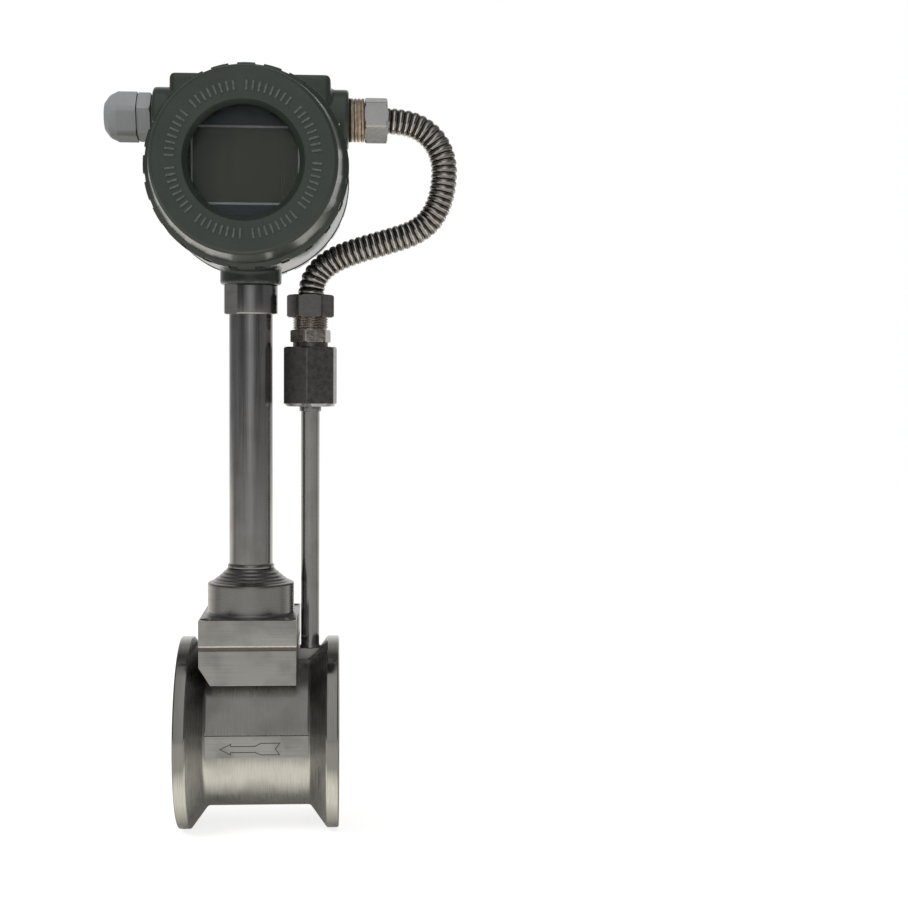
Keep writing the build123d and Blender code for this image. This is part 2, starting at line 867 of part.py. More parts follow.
def make_display_screws():
    """Long screws through the frame and both boards into the posts."""
    head_bottom_z = frame_front - lcd_thick
    head_top_z = head_bottom_z + display_screw_head
    screw = rod(display_screw_radius, display_board_back - display_screw_grip, head_bottom_z)
    screw += rod(2 * display_screw_radius, head_bottom_z, head_top_z)
    screw -= block(-4, 4, -0.4, 0.4, head_top_z - display_screw_head / 2, head_top_z + 1)
    return [from_front(Pos(x, y, 0) * screw) for x, y in post_places()]


# Terminals

def terminal_places():
    first = -(terminal_count - 1) / 2 * terminal_pitch
    return [first + step * terminal_pitch for step in range(terminal_count)]


def make_terminal_block():
    """The moulded strip on the web, with walls between its screws and wire slots below."""
    across = terminal_width / 2
    low = -terminal_drop - terminal_height / 2
    high = -terminal_drop + terminal_height / 2
    strip = block(-across, across, low, high, 0, terminal_depth)
    strip = chamfer(strip.edges().filter_by(Axis.X).group_by(Axis.Z)[-1], 2)
    cell = terminal_pitch - 2
    for x in terminal_places():
        pocket = block(x - cell / 2, x + cell / 2, low - 1, high - 6,
                       terminal_depth - terminal_slot_depth, terminal_depth + 1)
        strip -= pocket
        strip -= Pos(x, -terminal_drop, 0) * rod(terminal_screw_radius + slip, 4, terminal_depth)
    return from_back(strip)


def make_terminal_screws():
    floor = terminal_depth - terminal_slot_depth
    screw = rod(terminal_screw_radius, 5, floor) + rod(terminal_screw_radius + 1.4, floor, floor + 2)
    screw -= block(-5, 5, -0.5, 0.5, floor + 1, floor + 3)
    return [from_back(Pos(x, -terminal_drop, 0) * screw) for x in terminal_places()]


# Cable gland, drawn about Z with the face of the boss at Z 0 and its outside towards +Z

def make_gland_gasket():
    return to_outlet(ring(gland_flats / 2, entry_thread_radius + run_gap, entry_reach, entry_reach + gland_gasket_thick),
                     stem_x)


def make_gland_body():
    """Hexagon, entry thread and the stub with its clamping fingers."""
    base = gland_gasket_thick
    body = hexagon(gland_flats, base, base + gland_hex_length, gland_turn)
    body += rod(entry_thread_radius - slip, -entry_thread_length, base)
    stub_top = base + gland_hex_length + gland_stub_length
    body += turned([
        (0, base + gland_hex_length),
        (gland_stub_radius, base + gland_hex_length),
        (gland_stub_radius, stub_top - 4),
        (gland_stub_radius - 2.5, stub_top),
        (0, stub_top),
    ])
    body -= rod(gland_bore_radius, base + 4, stub_top + 1)
    body -= rod(seal_bore_radius + 1, -entry_thread_length - 1, base + 5)
    for step in range(4):
        slit = block(-14, 14, -0.5, 0.5, stub_top - 5, stub_top + 1)
        body -= Rot(0, 0, 45 * step) * slit
    return to_outlet(Pos(0, 0, entry_reach) * body, stem_x)


def make_gland_seal():
    bottom = gland_gasket_thick + 4 + run_gap
    seal = turned([
        (seal_bore_radius, bottom),
        (seal_radius, bottom),
        (seal_radius, bottom + seal_length - 3),
        (seal_radius - 1, bottom + seal_length),
        (seal_bore_radius, bottom + seal_length),
    ])
    return to_outlet(Pos(0, 0, entry_reach) * seal, stem_x)


def make_gland_dome_nut():
    """The cap nut: a hexagon that runs out into a dome round the cable hole."""
    bottom = gland_gasket_thick + gland_hex_length + run_gap
    top = bottom + dome_length
    dome_start = bottom + dome_hex_length
    outer = make_face(Polyline((0, 0, bottom), (dome_radius, 0, bottom), (dome_radius, 0, dome_start))
                      + ThreePointArc((dome_radius, 0, dome_start),
                                      (dome_radius - 1.9, 0, (dome_start + top) / 2 + 0.8),
                                      (dome_mouth_radius + 2.4, 0, top))
                      + Polyline((dome_mouth_radius + 2.4, 0, top), (0, 0, top), (0, 0, bottom)))
    nut = revolve(outer, Axis.Z)
    nut &= Pos(0, 0, bottom) * extrude(
        Rot(0, 0, gland_turn) * RegularPolygon((dome_radius - 0.8) / cos(radians(30)), 6), dome_length)
    inner_top = top - dome_wall
    nut -= turned([
        (0, bottom - 1),
        (gland_stub_radius + run_gap, bottom - 1),
        (gland_stub_radius + run_gap, dome_start),
        (seal_radius + run_gap, inner_top),
        (0, inner_top),
    ])
    nut -= rod(dome_mouth_radius, bottom, top + 1)
    return to_outlet(Pos(0, 0, entry_reach) * nut, stem_x)


def make_adapter_gasket():
    gasket = ring(brass_radius, entry_thread_radius + run_gap, entry_reach, entry_reach + adapter_gasket_thick)
    return to_inlet(gasket, stem_x)


def make_brass_adapter():
    """Entry thread, ringed collar and the thread for the upper union nut."""
    body = rod(entry_thread_radius - slip, -entry_thread_length - adapter_gasket_thick, 0)
    body += rod(brass_radius, 0, brass_length)
    thread_end = brass_length + brass_thread_length
    body += turned([
        (0, brass_length),
        (union_thread_radius, brass_length),
        (union_thread_radius, thread_end - 1),
        (union_thread_radius - 1, thread_end),
        (0, thread_end),
    ])
    spacing = brass_length / (brass_groove_count + 1)
    for step in range(brass_groove_count):
        middle = (step + 1) * spacing
        body -= ring(brass_radius + 1, brass_radius - brass_groove, middle - 0.6, middle + 0.6)
    body -= rod(adapter_bore_radius, -entry_thread_length - 2, thread_end + 1)
    return to_inlet(body, brass_start)


def export(name, shape):
    if isinstance(shape, list):
        shape = Compound(children=shape)
    export_step(shape, f"parts/{name}.step")


export("meter_body", make_meter_body())
export("shedder_bar", make_shedder_bar())
export("piezo_sensor", make_piezo_sensor())
export("shedder_gasket", make_shedder_gasket())
export("bonnet_gasket", make_bonnet_gasket())
export("bonnet", make_bonnet())
export("bonnet_screws", make_bonnet_screws())
export("stem_tube", make_stem_tube())
export("neck_o_ring", make_neck_o_ring())
export("stem_collar", make_stem_collar())
export("impulse_tube", make_impulse_tube())
export("pressure_coupling", make_pressure_coupling())
export("pressure_sensor", make_pressure_sensor())
export("union_adapter", make_union_adapter())
export("lower_thrust_ring", on_tap(Pos(0, 0, adapter_top + run_gap) * thrust_ring()))
export("lower_hose_nut", on_tap(Pos(0, 0, lower_nut_place()) * union_nut(0)))
export("flexible_hose", make_hose())
export("upper_thrust_ring", to_inlet(thrust_ring(), brass_end + run_gap))
export("upper_hose_nut", to_inlet(union_nut(upper_union_turn), upper_nut_place()))
export("brass_adapter", make_brass_adapter())
export("adapter_gasket", make_adapter_gasket())
export("housing", make_housing())
export("housing_set_screw", make_housing_set_screw())
export("feed_bushing", make_feed_bushing())
export("front_cover", make_front_cover())
export("front_o_ring", from_front(make_cover_ring()))
export("window_gasket", make_window_gasket())
export("window_glass", make_window_glass())
export("window_retainer", make_window_retainer())
export("rear_cover", make_rear_cover())
export("rear_o_ring", from_back(make_cover_ring()))
export("display_frame", make_display_frame())
export("lcd_panel", make_lcd_panel())
export("display_board", make_display_board())
export("display_posts", make_display_posts())
export("display_screws", make_display_screws())
export("main_board", make_main_board())
export("board_posts", make_board_posts())
export("terminal_block", make_terminal_block())
export("terminal_screws", make_terminal_screws())
export("gland_gasket", make_gland_gasket())
export("gland_body", make_gland_body())
export("gland_seal", make_gland_seal())
export("gland_dome_nut", make_gland_dome_nut())
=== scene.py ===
import math

import bmesh
import bpy
import numpy
from mathutils import Matrix, Vector


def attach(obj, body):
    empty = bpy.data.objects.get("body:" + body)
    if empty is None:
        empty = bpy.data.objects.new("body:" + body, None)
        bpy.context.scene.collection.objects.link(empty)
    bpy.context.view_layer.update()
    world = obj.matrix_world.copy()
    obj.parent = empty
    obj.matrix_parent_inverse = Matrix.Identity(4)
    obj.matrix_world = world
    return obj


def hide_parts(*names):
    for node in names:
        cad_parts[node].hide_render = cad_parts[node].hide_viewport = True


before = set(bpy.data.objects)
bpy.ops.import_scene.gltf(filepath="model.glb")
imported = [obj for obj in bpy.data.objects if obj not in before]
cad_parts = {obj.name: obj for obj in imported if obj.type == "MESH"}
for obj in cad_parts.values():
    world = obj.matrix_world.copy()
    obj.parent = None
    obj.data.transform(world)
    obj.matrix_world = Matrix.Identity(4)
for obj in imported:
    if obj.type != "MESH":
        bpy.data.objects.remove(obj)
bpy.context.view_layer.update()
print("frame loaded", len(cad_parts), "nodes")

# shared places; these and the sizes of the pieces are in millimetres
mm = 0.001
stemX = -5.6
drumZ = 334.4
entryY = 10.0
entryZ = 369.4
tapX = 29.8
tapY = 5.0


# mesh helpers

def newObject(name, data):
    made = bpy.data.objects.new(name, data)
    bpy.context.scene.collection.objects.link(made)
    return made


def newPiece(name, verts, faces):
    data = bpy.data.meshes.new(name)
    data.from_pydata([Vector(v) * mm for v in verts], [], faces)
    shell = bmesh.new()
    shell.from_mesh(data)
    bmesh.ops.remove_doubles(shell, verts=shell.verts, dist=1e-7)
    bmesh.ops.recalc_face_normals(shell, faces=shell.faces)
    shell.to_mesh(data)
    shell.free()
    return newObject(name, data)


def picked(sizes, *names):
    return [sizes[name] for name in names]


def smoothed(piece, angle=35.0):
    piece.data.shade_smooth()
    piece.data.set_sharp_from_angle(angle=math.radians(angle))
    return piece


def shownMesh(holder):
    bpy.context.view_layer.update()
    return bpy.data.meshes.new_from_object(holder.evaluated_get(bpy.context.evaluated_depsgraph_get()))


# bakes the modifiers into the mesh
def applied(piece):
    data = shownMesh(piece)
    piece.modifiers.clear()
    piece.data = data
    return piece


def bevelled(piece, width, parts=3, angle=30.0):
    edge = piece.modifiers.new("edge", "BEVEL")
    edge.width = width * mm
    edge.segments = parts
    edge.limit_method = "ANGLE"
    edge.angle_limit = math.radians(angle)
    edge.use_clamp_overlap = True
    return applied(piece)


def combined(piece, others, how="UNION"):
    for other in others:
        step = piece.modifiers.new(how.lower(), "BOOLEAN")
        step.operation = how
        step.solver = "EXACT"
        step.object = other
    applied(piece)
    for other in others:
        bpy.data.objects.remove(other)


def joined(name, parts):
    shell = bmesh.new()
    for part in parts:
        shell.from_mesh(part.data)
    data = bpy.data.meshes.new(name)
    shell.to_mesh(data)
    shell.free()
    for part in parts:
        bpy.data.objects.remove(part)
    return newObject(name, data)


def placing(origin, up, across):
    side = Vector(up).cross(across)
    return Matrix.Translation(origin) @ Matrix((across, side, up)).transposed().to_4x4()


def lifted(place, height):
    return place @ Matrix.Translation((0, 0, height))


onStem = placing((stemX, 0, 0), (0, 0, 1), (1, 0, 0))
onTap = placing((tapX, tapY, 0), (0, 0, 1), (1, 0, 0))
alongPipe = placing((0, 0, 0), (1, 0, 0), (0, 1, 0))
outFront = placing((stemX, 0, drumZ), (0, -1, 0), (1, 0, 0))
outBack = placing((stemX, 0, drumZ), (0, 1, 0), (-1, 0, 0))
toInlet = placing((stemX, entryY, entryZ), (1, 0, 0), (0, 1, 0))
toOutlet = placing((stemX, entryY, entryZ), (-1, 0, 0), (0, -1, 0))


# rounds the corners of a (radius, height, rounding) outline
def rounded(corners, parts=5):
    line = []
    for index, corner in enumerate(corners):
        here = Vector(corner[:2])
        size = corner[2] if len(corner) > 2 else 0
        if not size:
            line.append(tuple(here))
            continue
        before = Vector(corners[index - 1][:2]) - here
        after = Vector(corners[(index + 1) % len(corners)][:2]) - here
        half = before.angle(after) / 2
        cut = min(size / math.tan(half), 0.48 * before.length, 0.48 * after.length)
        size = cut * math.tan(half)
        centre = here + (before.normalized() + after.normalized()).normalized() * size / math.sin(half)
        first = here + before.normalized() * cut - centre
        last = here + after.normalized() * cut - centre
        start = math.atan2(first.y, first.x)
        sweep = (math.atan2(last.y, last.x) - start + math.pi) % (2 * math.pi) - math.pi
        for step in range(parts + 1):
            turn = start + sweep * step / parts
            line.append((centre.x + size * math.cos(turn), centre.y + size * math.sin(turn)))
    return line


# many points along a straight part of an outline, for threads and grooves
def fineRun(radius, start, end, spacing):
    count = max(2, round(abs(end - start) / spacing))
    return [(radius, start + (end - start) * step / count) for step in range(count + 1)]


# turns an outline about Z; shape(angle, radius, height) may change a radius
def turnedPiece(name, outline, place, steps, shape=None, extraAngles=()):
    angles = sorted({round(360 * step / steps, 4) for step in range(steps)} | {a % 360 for a in extraAngles})
    verts = []
    columns = []
    hubs = {}
    for angle in angles:
        turn = math.radians(angle)
        column = []
        for index, (radius, height) in enumerate(outline):
            if radius < 1e-6:
                if index not in hubs:
                    hubs[index] = len(verts)
                    verts.append(place @ Vector((0, 0, height)))
                column.append(hubs[index])
                continue
            reach = shape(turn, radius, height) if shape else radius
            column.append(len(verts))
            verts.append(place @ Vector((reach * math.cos(turn), reach * math.sin(turn), height)))
        columns.append(column)
    faces = []
    for index, column in enumerate(columns):
        following = columns[(index + 1) % len(columns)]
        for here in range(len(outline)):
            there = (here + 1) % len(outline)
            corners = [column[here], following[here], following[there], column[there]]
            face = [c for i, c in enumerate(corners) if c not in corners[:i]]
            if len(face) > 2:
                faces.append(face)
    return smoothed(newPiece(name, verts, faces))


# faces between two loops of count points each, given by the number of their first point
def wall(low, high, count):
    return [[low + step, low + (step + 1) % count, high + (step + 1) % count, high + step]
            for step in range(count)]


# a flat outline in X and Z, made thick along Y
def slab(name, outline, near, far):
    count = len(outline)
    verts = [(x, y, z) for y in (near, far) for x, z in outline]
    faces = [list(range(count)), list(range(2 * count - 1, count - 1, -1)), *wall(0, count, count)]
    return newPiece(name, verts, faces)


def brick(name, low, high):
    outline = [(low[0], low[2]), (high[0], low[2]), (high[0], high[2]), (low[0], high[2])]
    return slab(name, outline, low[1], high[1])


# a plain cylinder from low to high, to cut with
def rod(name, radius, low, high, place, steps=64):
    return turnedPiece(name, [(0, low), (radius, low), (radius, high), (0, high)], place, steps)


def hexCorner(flats):
    return flats / 2 / math.cos(math.radians(30))


def hexReach(flats, turn, cornerCut=0.3):
    corner = hexCorner(flats) - cornerCut

    def shape(angle, radius, height):
        # the corners of the prism point to the turn, so its flats are halfway between them
        fromFlat = (angle - math.radians(turn)) % math.radians(60) - math.radians(30)
        return min(radius, corner, flats / 2 / math.cos(fromFlat))
    return shape


# a right-hand thread cut into a radius
def threadCut(angle, height, pitch, depth):
    phase = (height / pitch - angle / (2 * math.pi)) % 1.0
    return depth * (1 - abs(2 * phase - 1))


def hexAngles(turn):
    return [turn + 60 * side + shift for side in range(6) for shift in (-2, -1, 0, 1, 2)]


# materials

# a shader node; a value that is another node's output is linked, any other value is set
def addNode(tree, kind, values=None, **settings):
    node = tree.nodes.new("ShaderNode" + kind)
    for name, setting in settings.items():
        setattr(node, name, setting)
    feed(tree, node, values or {})
    return node


def feed(tree, node, values):
    for name, value in values.items():
        if isinstance(value, bpy.types.NodeSocket):
            tree.links.new(value, node.inputs[name])
        else:
            node.inputs[name].default_value = value


def addRange(tree, source, span, gain):
    return addNode(tree, "MapRange", {
        "Value": source, "From Min": span[0], "From Max": span[1], "To Min": gain[0], "To Max": gain[1],
    }).outputs["Result"]


# the range of a look that has a span and a gain under one name
def lookRange(tree, source, look, part):
    return addRange(tree, source, look[part + "Span"], look[part])


def addMath(tree, operation, first, second=0.0):
    return addNode(tree, "Math", {0: first, 1: second}, operation=operation).outputs["Value"]


grainSpan = (0.3, 0.7)
stainSpan = (0.45, 0.7)
rampStops = (0.32, 0.68)
coatRough = 0.22
finishes = {}


def newFinish(name, color, contrast, grain, rough, stretch=(1, 1, 1), stain=40, stainColor=None,
              stainAmount=0.25, bump=0.2, bumpGrain=None, relief=0.02, metal=0, coat=0, alpha=1, ior=1.5):
    finish = bpy.data.materials.new(name)
    finish.use_nodes = True
    tree = finish.node_tree
    coords = addNode(tree, "TexCoord").outputs["Object"]
    color = Vector(color)

    def cloud(scale, detail=3, stretch=(1, 1, 1)):
        scaled = addNode(tree, "Mapping", {"Vector": coords, "Scale": stretch}).outputs["Vector"]
        return addNode(tree, "TexNoise", {"Vector": scaled, "Scale": scale, "Detail": detail}).outputs["Fac"]

    pattern = cloud(grain, 4, stretch)
    ramp = addNode(tree, "ValToRGB", {"Fac": pattern})
    for stop, position, shade in zip(ramp.color_ramp.elements, rampStops, (1 - contrast, 1 + contrast)):
        stop.position = position
        stop.color = (*(color * shade), 1)
    tinted = addNode(tree, "Mix", {
        "Factor": addRange(tree, cloud(stain), stainSpan, (0, stainAmount)), "A": ramp.outputs["Color"],
        "B": (*(stainColor or color * 0.8), 1),
    }, data_type="RGBA")
    bumps = addNode(tree, "Bump", {
        "Height": cloud(bumpGrain) if bumpGrain else pattern, "Strength": bump, "Distance": relief * mm,
    })
    feed(tree, tree.nodes["Principled BSDF"], {
        "Base Color": tinted.outputs["Result"], "Roughness": addRange(tree, pattern, grainSpan, rough),
        "Normal": bumps.outputs["Normal"], "Metallic": metal, "IOR": ior, "Alpha": alpha,
        "Coat Weight": coat, "Coat Roughness": coatRough,
    })
    finishes[name] = finish


newFinish("castPaint", (0.0225, 0.0325, 0.0245), 0.14, 900, (0.34, 0.46), bumpGrain=1400, bump=0.3,
          relief=0.1, stainColor=(0.048, 0.06, 0.048), coat=0.6)
# a lighter paint, for the ticks and for painted light on the neck's lower edge
newFinish("lighterPaint", (0.085, 0.1, 0.085), 0.3, 500, (0.34, 0.46), relief=0.05, coat=0.6)
newFinish("satinSteel", (0.35, 0.345, 0.328), 0.14, 300, (0.25, 0.37), metal=1, stretch=(8, 0.25, 0.25),
          stain=45, stainColor=(0.22, 0.215, 0.205), stainAmount=0.6, bump=0.12)
newFinish("linedSteel", (0.43, 0.425, 0.415), 0.14, 260, (0.32, 0.46), metal=1, stretch=(0.1, 0.1, 10),
          stain=60, stainColor=(0.23, 0.225, 0.215), stainAmount=0.55, bump=0.25, relief=0.03)
newFinish("turnedSteel", (0.3, 0.295, 0.287), 0.06, 220, (0.22, 0.32), metal=1, stretch=(0.1, 0.1, 6),
          stain=70, bump=0.12)
newFinish("drawnSteel", (0.335, 0.331, 0.337), 0.09, 900, (0.17, 0.24), metal=1, stretch=(1.6, 1.6, 0.03),
          stain=60, stainColor=(0.19, 0.17, 0.155), stainAmount=0.35, bump=0.05)
newFinish("hoseSteel", (0.36, 0.34, 0.325), 0.18, 700, (0.13, 0.22), metal=1, stainColor=(0.17, 0.14, 0.12),
          stainAmount=0.5, bump=0.1)
# a lighter copy of the steel, for painted highlights on hose crests, hexagon chamfers and the collar's lower
# edge
newFinish("paintedHighlightSteel", (0.72, 0.69, 0.65), 0.12, 700, (0.12, 0.2), metal=1, bump=0)
# a darker copy of the steel, for painted shade in the roots of the hose
newFinish("paintedShadeSteel", (0.13, 0.115, 0.1), 0.2, 700, (0.3, 0.45), metal=1, bump=0)
newFinish("rimSteel", (0.33, 0.325, 0.305), 0.14, 300, (0.08, 0.14), metal=1, stretch=(8, 0.25, 0.25),
          stain=45, stainColor=(0.3, 0.295, 0.28), stainAmount=0.6, bump=0.08)
newFinish("platedSteel", (0.172, 0.168, 0.162), 0.15, 400, (0.26, 0.38), metal=1, bump=0.1)
newFinish("nutSteel", (0.58, 0.58, 0.575), 0.1, 600, (0.28, 0.4), metal=1, stainColor=(0.33, 0.32, 0.3),
          stainAmount=0.4, bump=0.15)
newFinish("bronzeSteel", (0.5, 0.465, 0.43), 0.18, 500, (0.2, 0.32), metal=1,
          stainColor=(0.13, 0.105, 0.09), stainAmount=0.6, bump=0.1)
newFinish("blackSteel", (0.035, 0.035, 0.036), 0.2, 900, (0.4, 0.55), metal=0.6, relief=0.03)
newFinish("wornBrass", (0.68, 0.58, 0.45), 0.25, 500, (0.28, 0.44), metal=1, stainColor=(0.24, 0.19, 0.14),
          stainAmount=0.5, bump=0.3, relief=0.03)
newFinish("greyPlastic", (0.3, 0.305, 0.314), 0.05, 1200, (0.4, 0.52), relief=0.03)
newFinish("blackRubber", (0.018, 0.018, 0.018), 0.2, 1500, (0.6, 0.8), bump=0.4, relief=0.05)
newFinish("fibreSheet", (0.13, 0.115, 0.1), 0.3, 1600, (0.7, 0.9), stretch=(1, 1, 3), bump=0.5,
          relief=0.08)
# a pale sheet for a painted highlight
newFinish("paintedHighlightSheet", (0.8, 0.74, 0.62), 0.12, 900, (0.7, 0.9))
newFinish("displayFilm", (0.017, 0.025, 0.035), 0.1, 60, (0.3, 0.4), bump=0)
newFinish("lcdFace", (0.034, 0.04, 0.024), 0.12, 40, (0.22, 0.28), stretch=(5, 5, 0.4), bump=0)
newFinish("bezelGrey", (0.3, 0.31, 0.31), 0.1, 300, (0.35, 0.45), bump=0.05, relief=0.01)
newFinish("boardGreen", (0.02, 0.085, 0.035), 0.25, 350, (0.3, 0.4), bump=0.4, relief=0.05)
newFinish("terminalBlack", (0.028, 0.028, 0.029), 0.1, 1000, (0.42, 0.55), bump=0.3, relief=0.03)
newFinish("engravedLineShade", (0.075, 0.073, 0.07), 0.2, 900, (0.5, 0.65))
newFinish("clearGlass", (0.06, 0.07, 0.07), 0.05, 60, (0.04, 0.08), stainAmount=0, bump=0, alpha=0.1,
          ior=1.4)
print("materials made", len(finishes))


def dressed(piece, finishName, body="fixed_body", stands=()):
    piece.data.materials.clear()
    piece.data.materials.append(finishes[finishName])
    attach(piece, body)
    if stands:
        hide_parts(*stands)


# a second finish on the faces of a piece that the test picks
def partly(piece, finishName, picks):
    piece.data.materials.append(finishes[finishName])
    slot = len(piece.data.materials) - 1
    for face in piece.data.polygons:
        if picks(face):
            face.material_index = slot


# nodes whose shape is right keep it and get a finish
nodeFinishes = {
    "turnedSteel": ["shedder_bar"],
    "satinSteel": ["piezo_sensor", "pressure_sensor"],
    "blackSteel": ["bonnet_screws", "housing_set_screw", "display_screws"],
    "wornBrass": ["lower_thrust_ring", "upper_thrust_ring", "display_posts", "board_posts",
                  "terminal_screws"],
    "blackRubber": ["neck_o_ring", "adapter_gasket", "front_o_ring", "rear_o_ring", "window_gasket",
                    "gland_gasket", "gland_seal"],
    "fibreSheet": ["shedder_gasket"],
    "castPaint": ["window_retainer"],
    "displayFilm": ["display_frame"],
    "lcdFace": ["lcd_panel"],
    "boardGreen": ["display_board", "main_board"],
    "terminalBlack": ["feed_bushing", "terminal_block"],
    "greyPlastic": ["gland_body"],
}
for finishName, nodeNames in nodeFinishes.items():
    for nodeName in nodeNames:
        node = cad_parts[nodeName]
        node.data.materials.clear()
        node.data.materials.append(finishes[finishName])
        smoothed(node, 28)
print("nodes finished")


# the flexible hose: rings along the route's own smooth line; its length is in metres

hose = {
    "radius": 8.0, "rootRadius": 6.9, "pitch": 3.9, "sides": 44, "rowsPerRing": 10, "length": 0.189,
    "route": [
        (68.2, 10.0, 369.4), (81.0, 10.0, 369.4), (95.0, 9.7, 366.3), (105.3, 9.4, 357.6),
        (110.4, 9.0, 345.6), (110.4, 8.6, 332.5), (107.7, 8.2, 319.7), (101.7, 7.8, 308.7),
        (92.0, 7.4, 301.6), (79.5, 7.0, 297.4), (54.5, 6.2, 289.8), (41.0, 5.6, 283.6),
        (33.0, 5.2, 275.9), (29.8, 5.0, 266.3), (29.8, 5.0, 256.2),
    ],
    "exit": (75.8, 10.0, 369.4),
}


def splinePoints(name, route):
    curve = bpy.data.curves.new(name, "CURVE")
    curve.dimensions = "3D"
    spline = curve.splines.new("NURBS")
    spline.points.add(len(route) - 1)
    for point, place in zip(spline.points, route):
        point.co = (*(Vector(place) * mm), 1.0)
    spline.order_u = 3
    spline.use_endpoint_u = True
    spline.resolution_u = 24
    holder = newObject(name, curve)
    line = shownMesh(holder)
    points = [vertex.co.copy() for vertex in line.vertices]
    bpy.data.objects.remove(holder)
    bpy.data.meshes.remove(line)
    return points


# the same line with its points a set distance apart
def evenPoints(points, spacing):
    lengths = numpy.cumsum([0.0] + [(after - before).length for before, after in zip(points, points[1:])])
    wanted = numpy.linspace(0, lengths[-1], round(lengths[-1] / spacing) + 1)
    return [Vector(spot) for spot in zip(*(numpy.interp(wanted, lengths, axis) for axis in zip(*points)))]


def makeHose():
    spacing = hose["pitch"] / hose["rowsPerRing"] * mm
    path = evenPoints(splinePoints("hoseLine", hose["route"]), spacing)
    verts = []
    faces = []
    sides = hose["sides"]
    across = Vector((0, 1, 0))
    swing = hose["radius"] - hose["rootRadius"]
    for row, centre in enumerate(path):
        ahead = path[min(row + 1, len(path) - 1)] - path[max(row - 1, 0)]
        ahead.normalize()
        across = (across - ahead * across.dot(ahead)).normalized()
        side = ahead.cross(across)
        # the crests are wide and round, the roots narrow
        radius = hose["rootRadius"] + swing * abs(math.cos(math.pi * row / hose["rowsPerRing"])) ** 0.8
        for step in range(sides):
            turn = 2 * math.pi * step / sides
            spoke = across * math.cos(turn) + side * math.sin(turn)
            verts.append(centre / mm + spoke * radius)
    for row in range(len(path) - 1):
        faces += wall(row * sides, (row + 1) * sides, sides)
    faces.append(list(range(sides - 1, -1, -1)))
    faces.append([len(verts) - sides + step for step in range(sides)])
    piece = smoothed(newPiece("hoseTube", verts, faces), 60)
    dressed(piece, "hoseSteel", stands=("flexible_hose",))
    rows = hose["rowsPerRing"]
    # the crest rows get a painted highlight and the root rows get painted shade
    partly(piece, "paintedHighlightSteel", lambda face: face.index // sides % rows in (0, rows - 1))
    partly(piece, "paintedShadeSteel", lambda face: face.index // sides % rows in (rows // 2 - 1, rows // 2))


makeHose()
print("hose made")


# union nuts and the adapters they screw onto

union = {
    "flats": 25.0, "length": 13.5, "threadRadius": 10.8, "mouth": 9.2, "depth": 8.2, "chamfer": 1.4,
    "lowerBase": 250.3, "upperBase": 62.3,
}


def unionNut(name, place, turn, finishName, body, stands):
    corner = hexCorner(union["flats"])
    chamfer = union["chamfer"]
    drop = chamfer * 0.55
    top, mouth, depth = picked(union, "length", "mouth", "depth")
    inside = union["threadRadius"] + 0.3
    opening = union["threadRadius"] + 0.9
    outline = [(inside, depth), (inside, 0.6), (opening, 0)]
    outline += rounded([(opening, 0), (corner - chamfer, 0, 0.3), (corner, drop, 0.3),
                        (corner, top - drop, 0.3), (corner - chamfer, top, 0.3), (mouth + 0.3, top, 0.4),
                        (mouth, top - 0.6), (mouth, depth)], 6)[1:]
    piece = turnedPiece(name, outline, place, 120, hexReach(union["flats"], turn), hexAngles(turn))
    dressed(piece, finishName, body, stands)


lowerNutBase = lifted(onTap, union["lowerBase"])
upperNutBase = lifted(toInlet, union["upperBase"] - stemX)
unionNut("lowerHoseNut", lowerNutBase, 0, "platedSteel", "lower_nut_body", ("lower_hose_nut",))
unionNut("upperHoseNut", upperNutBase, 20, "nutSteel", "upper_nut_body", ("upper_hose_nut",))

adapter = {
    "bottom": 235.2, "hexTop": 242.6, "top": 256.2, "flats": 22.0, "turn": 15, "bore": 6.0, "spigot": 8.95,
    "spigotLength": 6.5, "pitch": 1.5, "threadDepth": 0.9, "threadStep": 0.15,
}


def makeUnionAdapter():
    corner = hexCorner(adapter["flats"])
    base = adapter["bottom"]
    low = base - adapter["spigotLength"]
    hexTop, top = picked(adapter, "hexTop", "top")
    radius = union["threadRadius"]
    outline = rounded([(adapter["bore"], low), (adapter["spigot"], low, 0.3), (adapter["spigot"], base),
                       (corner - 0.9, base, 0.2), (corner, base + 0.5, 0.2), (corner, hexTop - 0.5, 0.2),
                       (corner - 0.9, hexTop, 0.2), (radius - 1.0, hexTop)], 5)
    outline += [(radius - 1.0, hexTop + 0.8)]
    outline += fineRun(radius, hexTop + 1.0, top - 1.0, adapter["threadStep"])
    outline += [(radius - 1.0, top), (adapter["bore"], top)]
    hexagon = hexReach(adapter["flats"], adapter["turn"])

    def shape(angle, reach, height):
        if height <= hexTop:
            return hexagon(angle, reach, height)
        if hexTop + 0.9 < height < top - 0.5:
            return reach - threadCut(angle, height, adapter["pitch"], adapter["threadDepth"])
        return reach
    piece = turnedPiece("unionAdapter", outline, onTap, 144, shape, hexAngles(adapter["turn"]))
    dressed(piece, "bronzeSteel", stands=("union_adapter",))
    # the turned corners of the hexagon get a painted highlight
    upTo = (hexTop + 0.1) * mm
    partly(piece, "paintedHighlightSteel", lambda face: abs(face.normal.z) > 0.25 and face.center.z < upTo)


makeUnionAdapter()

brass = {
    "radius": 13.1, "length": 8.6, "threadLength": 6.2, "start": 53.4, "grooves": 3, "groove": 0.5,
    "grooveHalf": 0.7, "plug": 9.9, "plugLength": 15.8, "plugThread": 0.8,
}


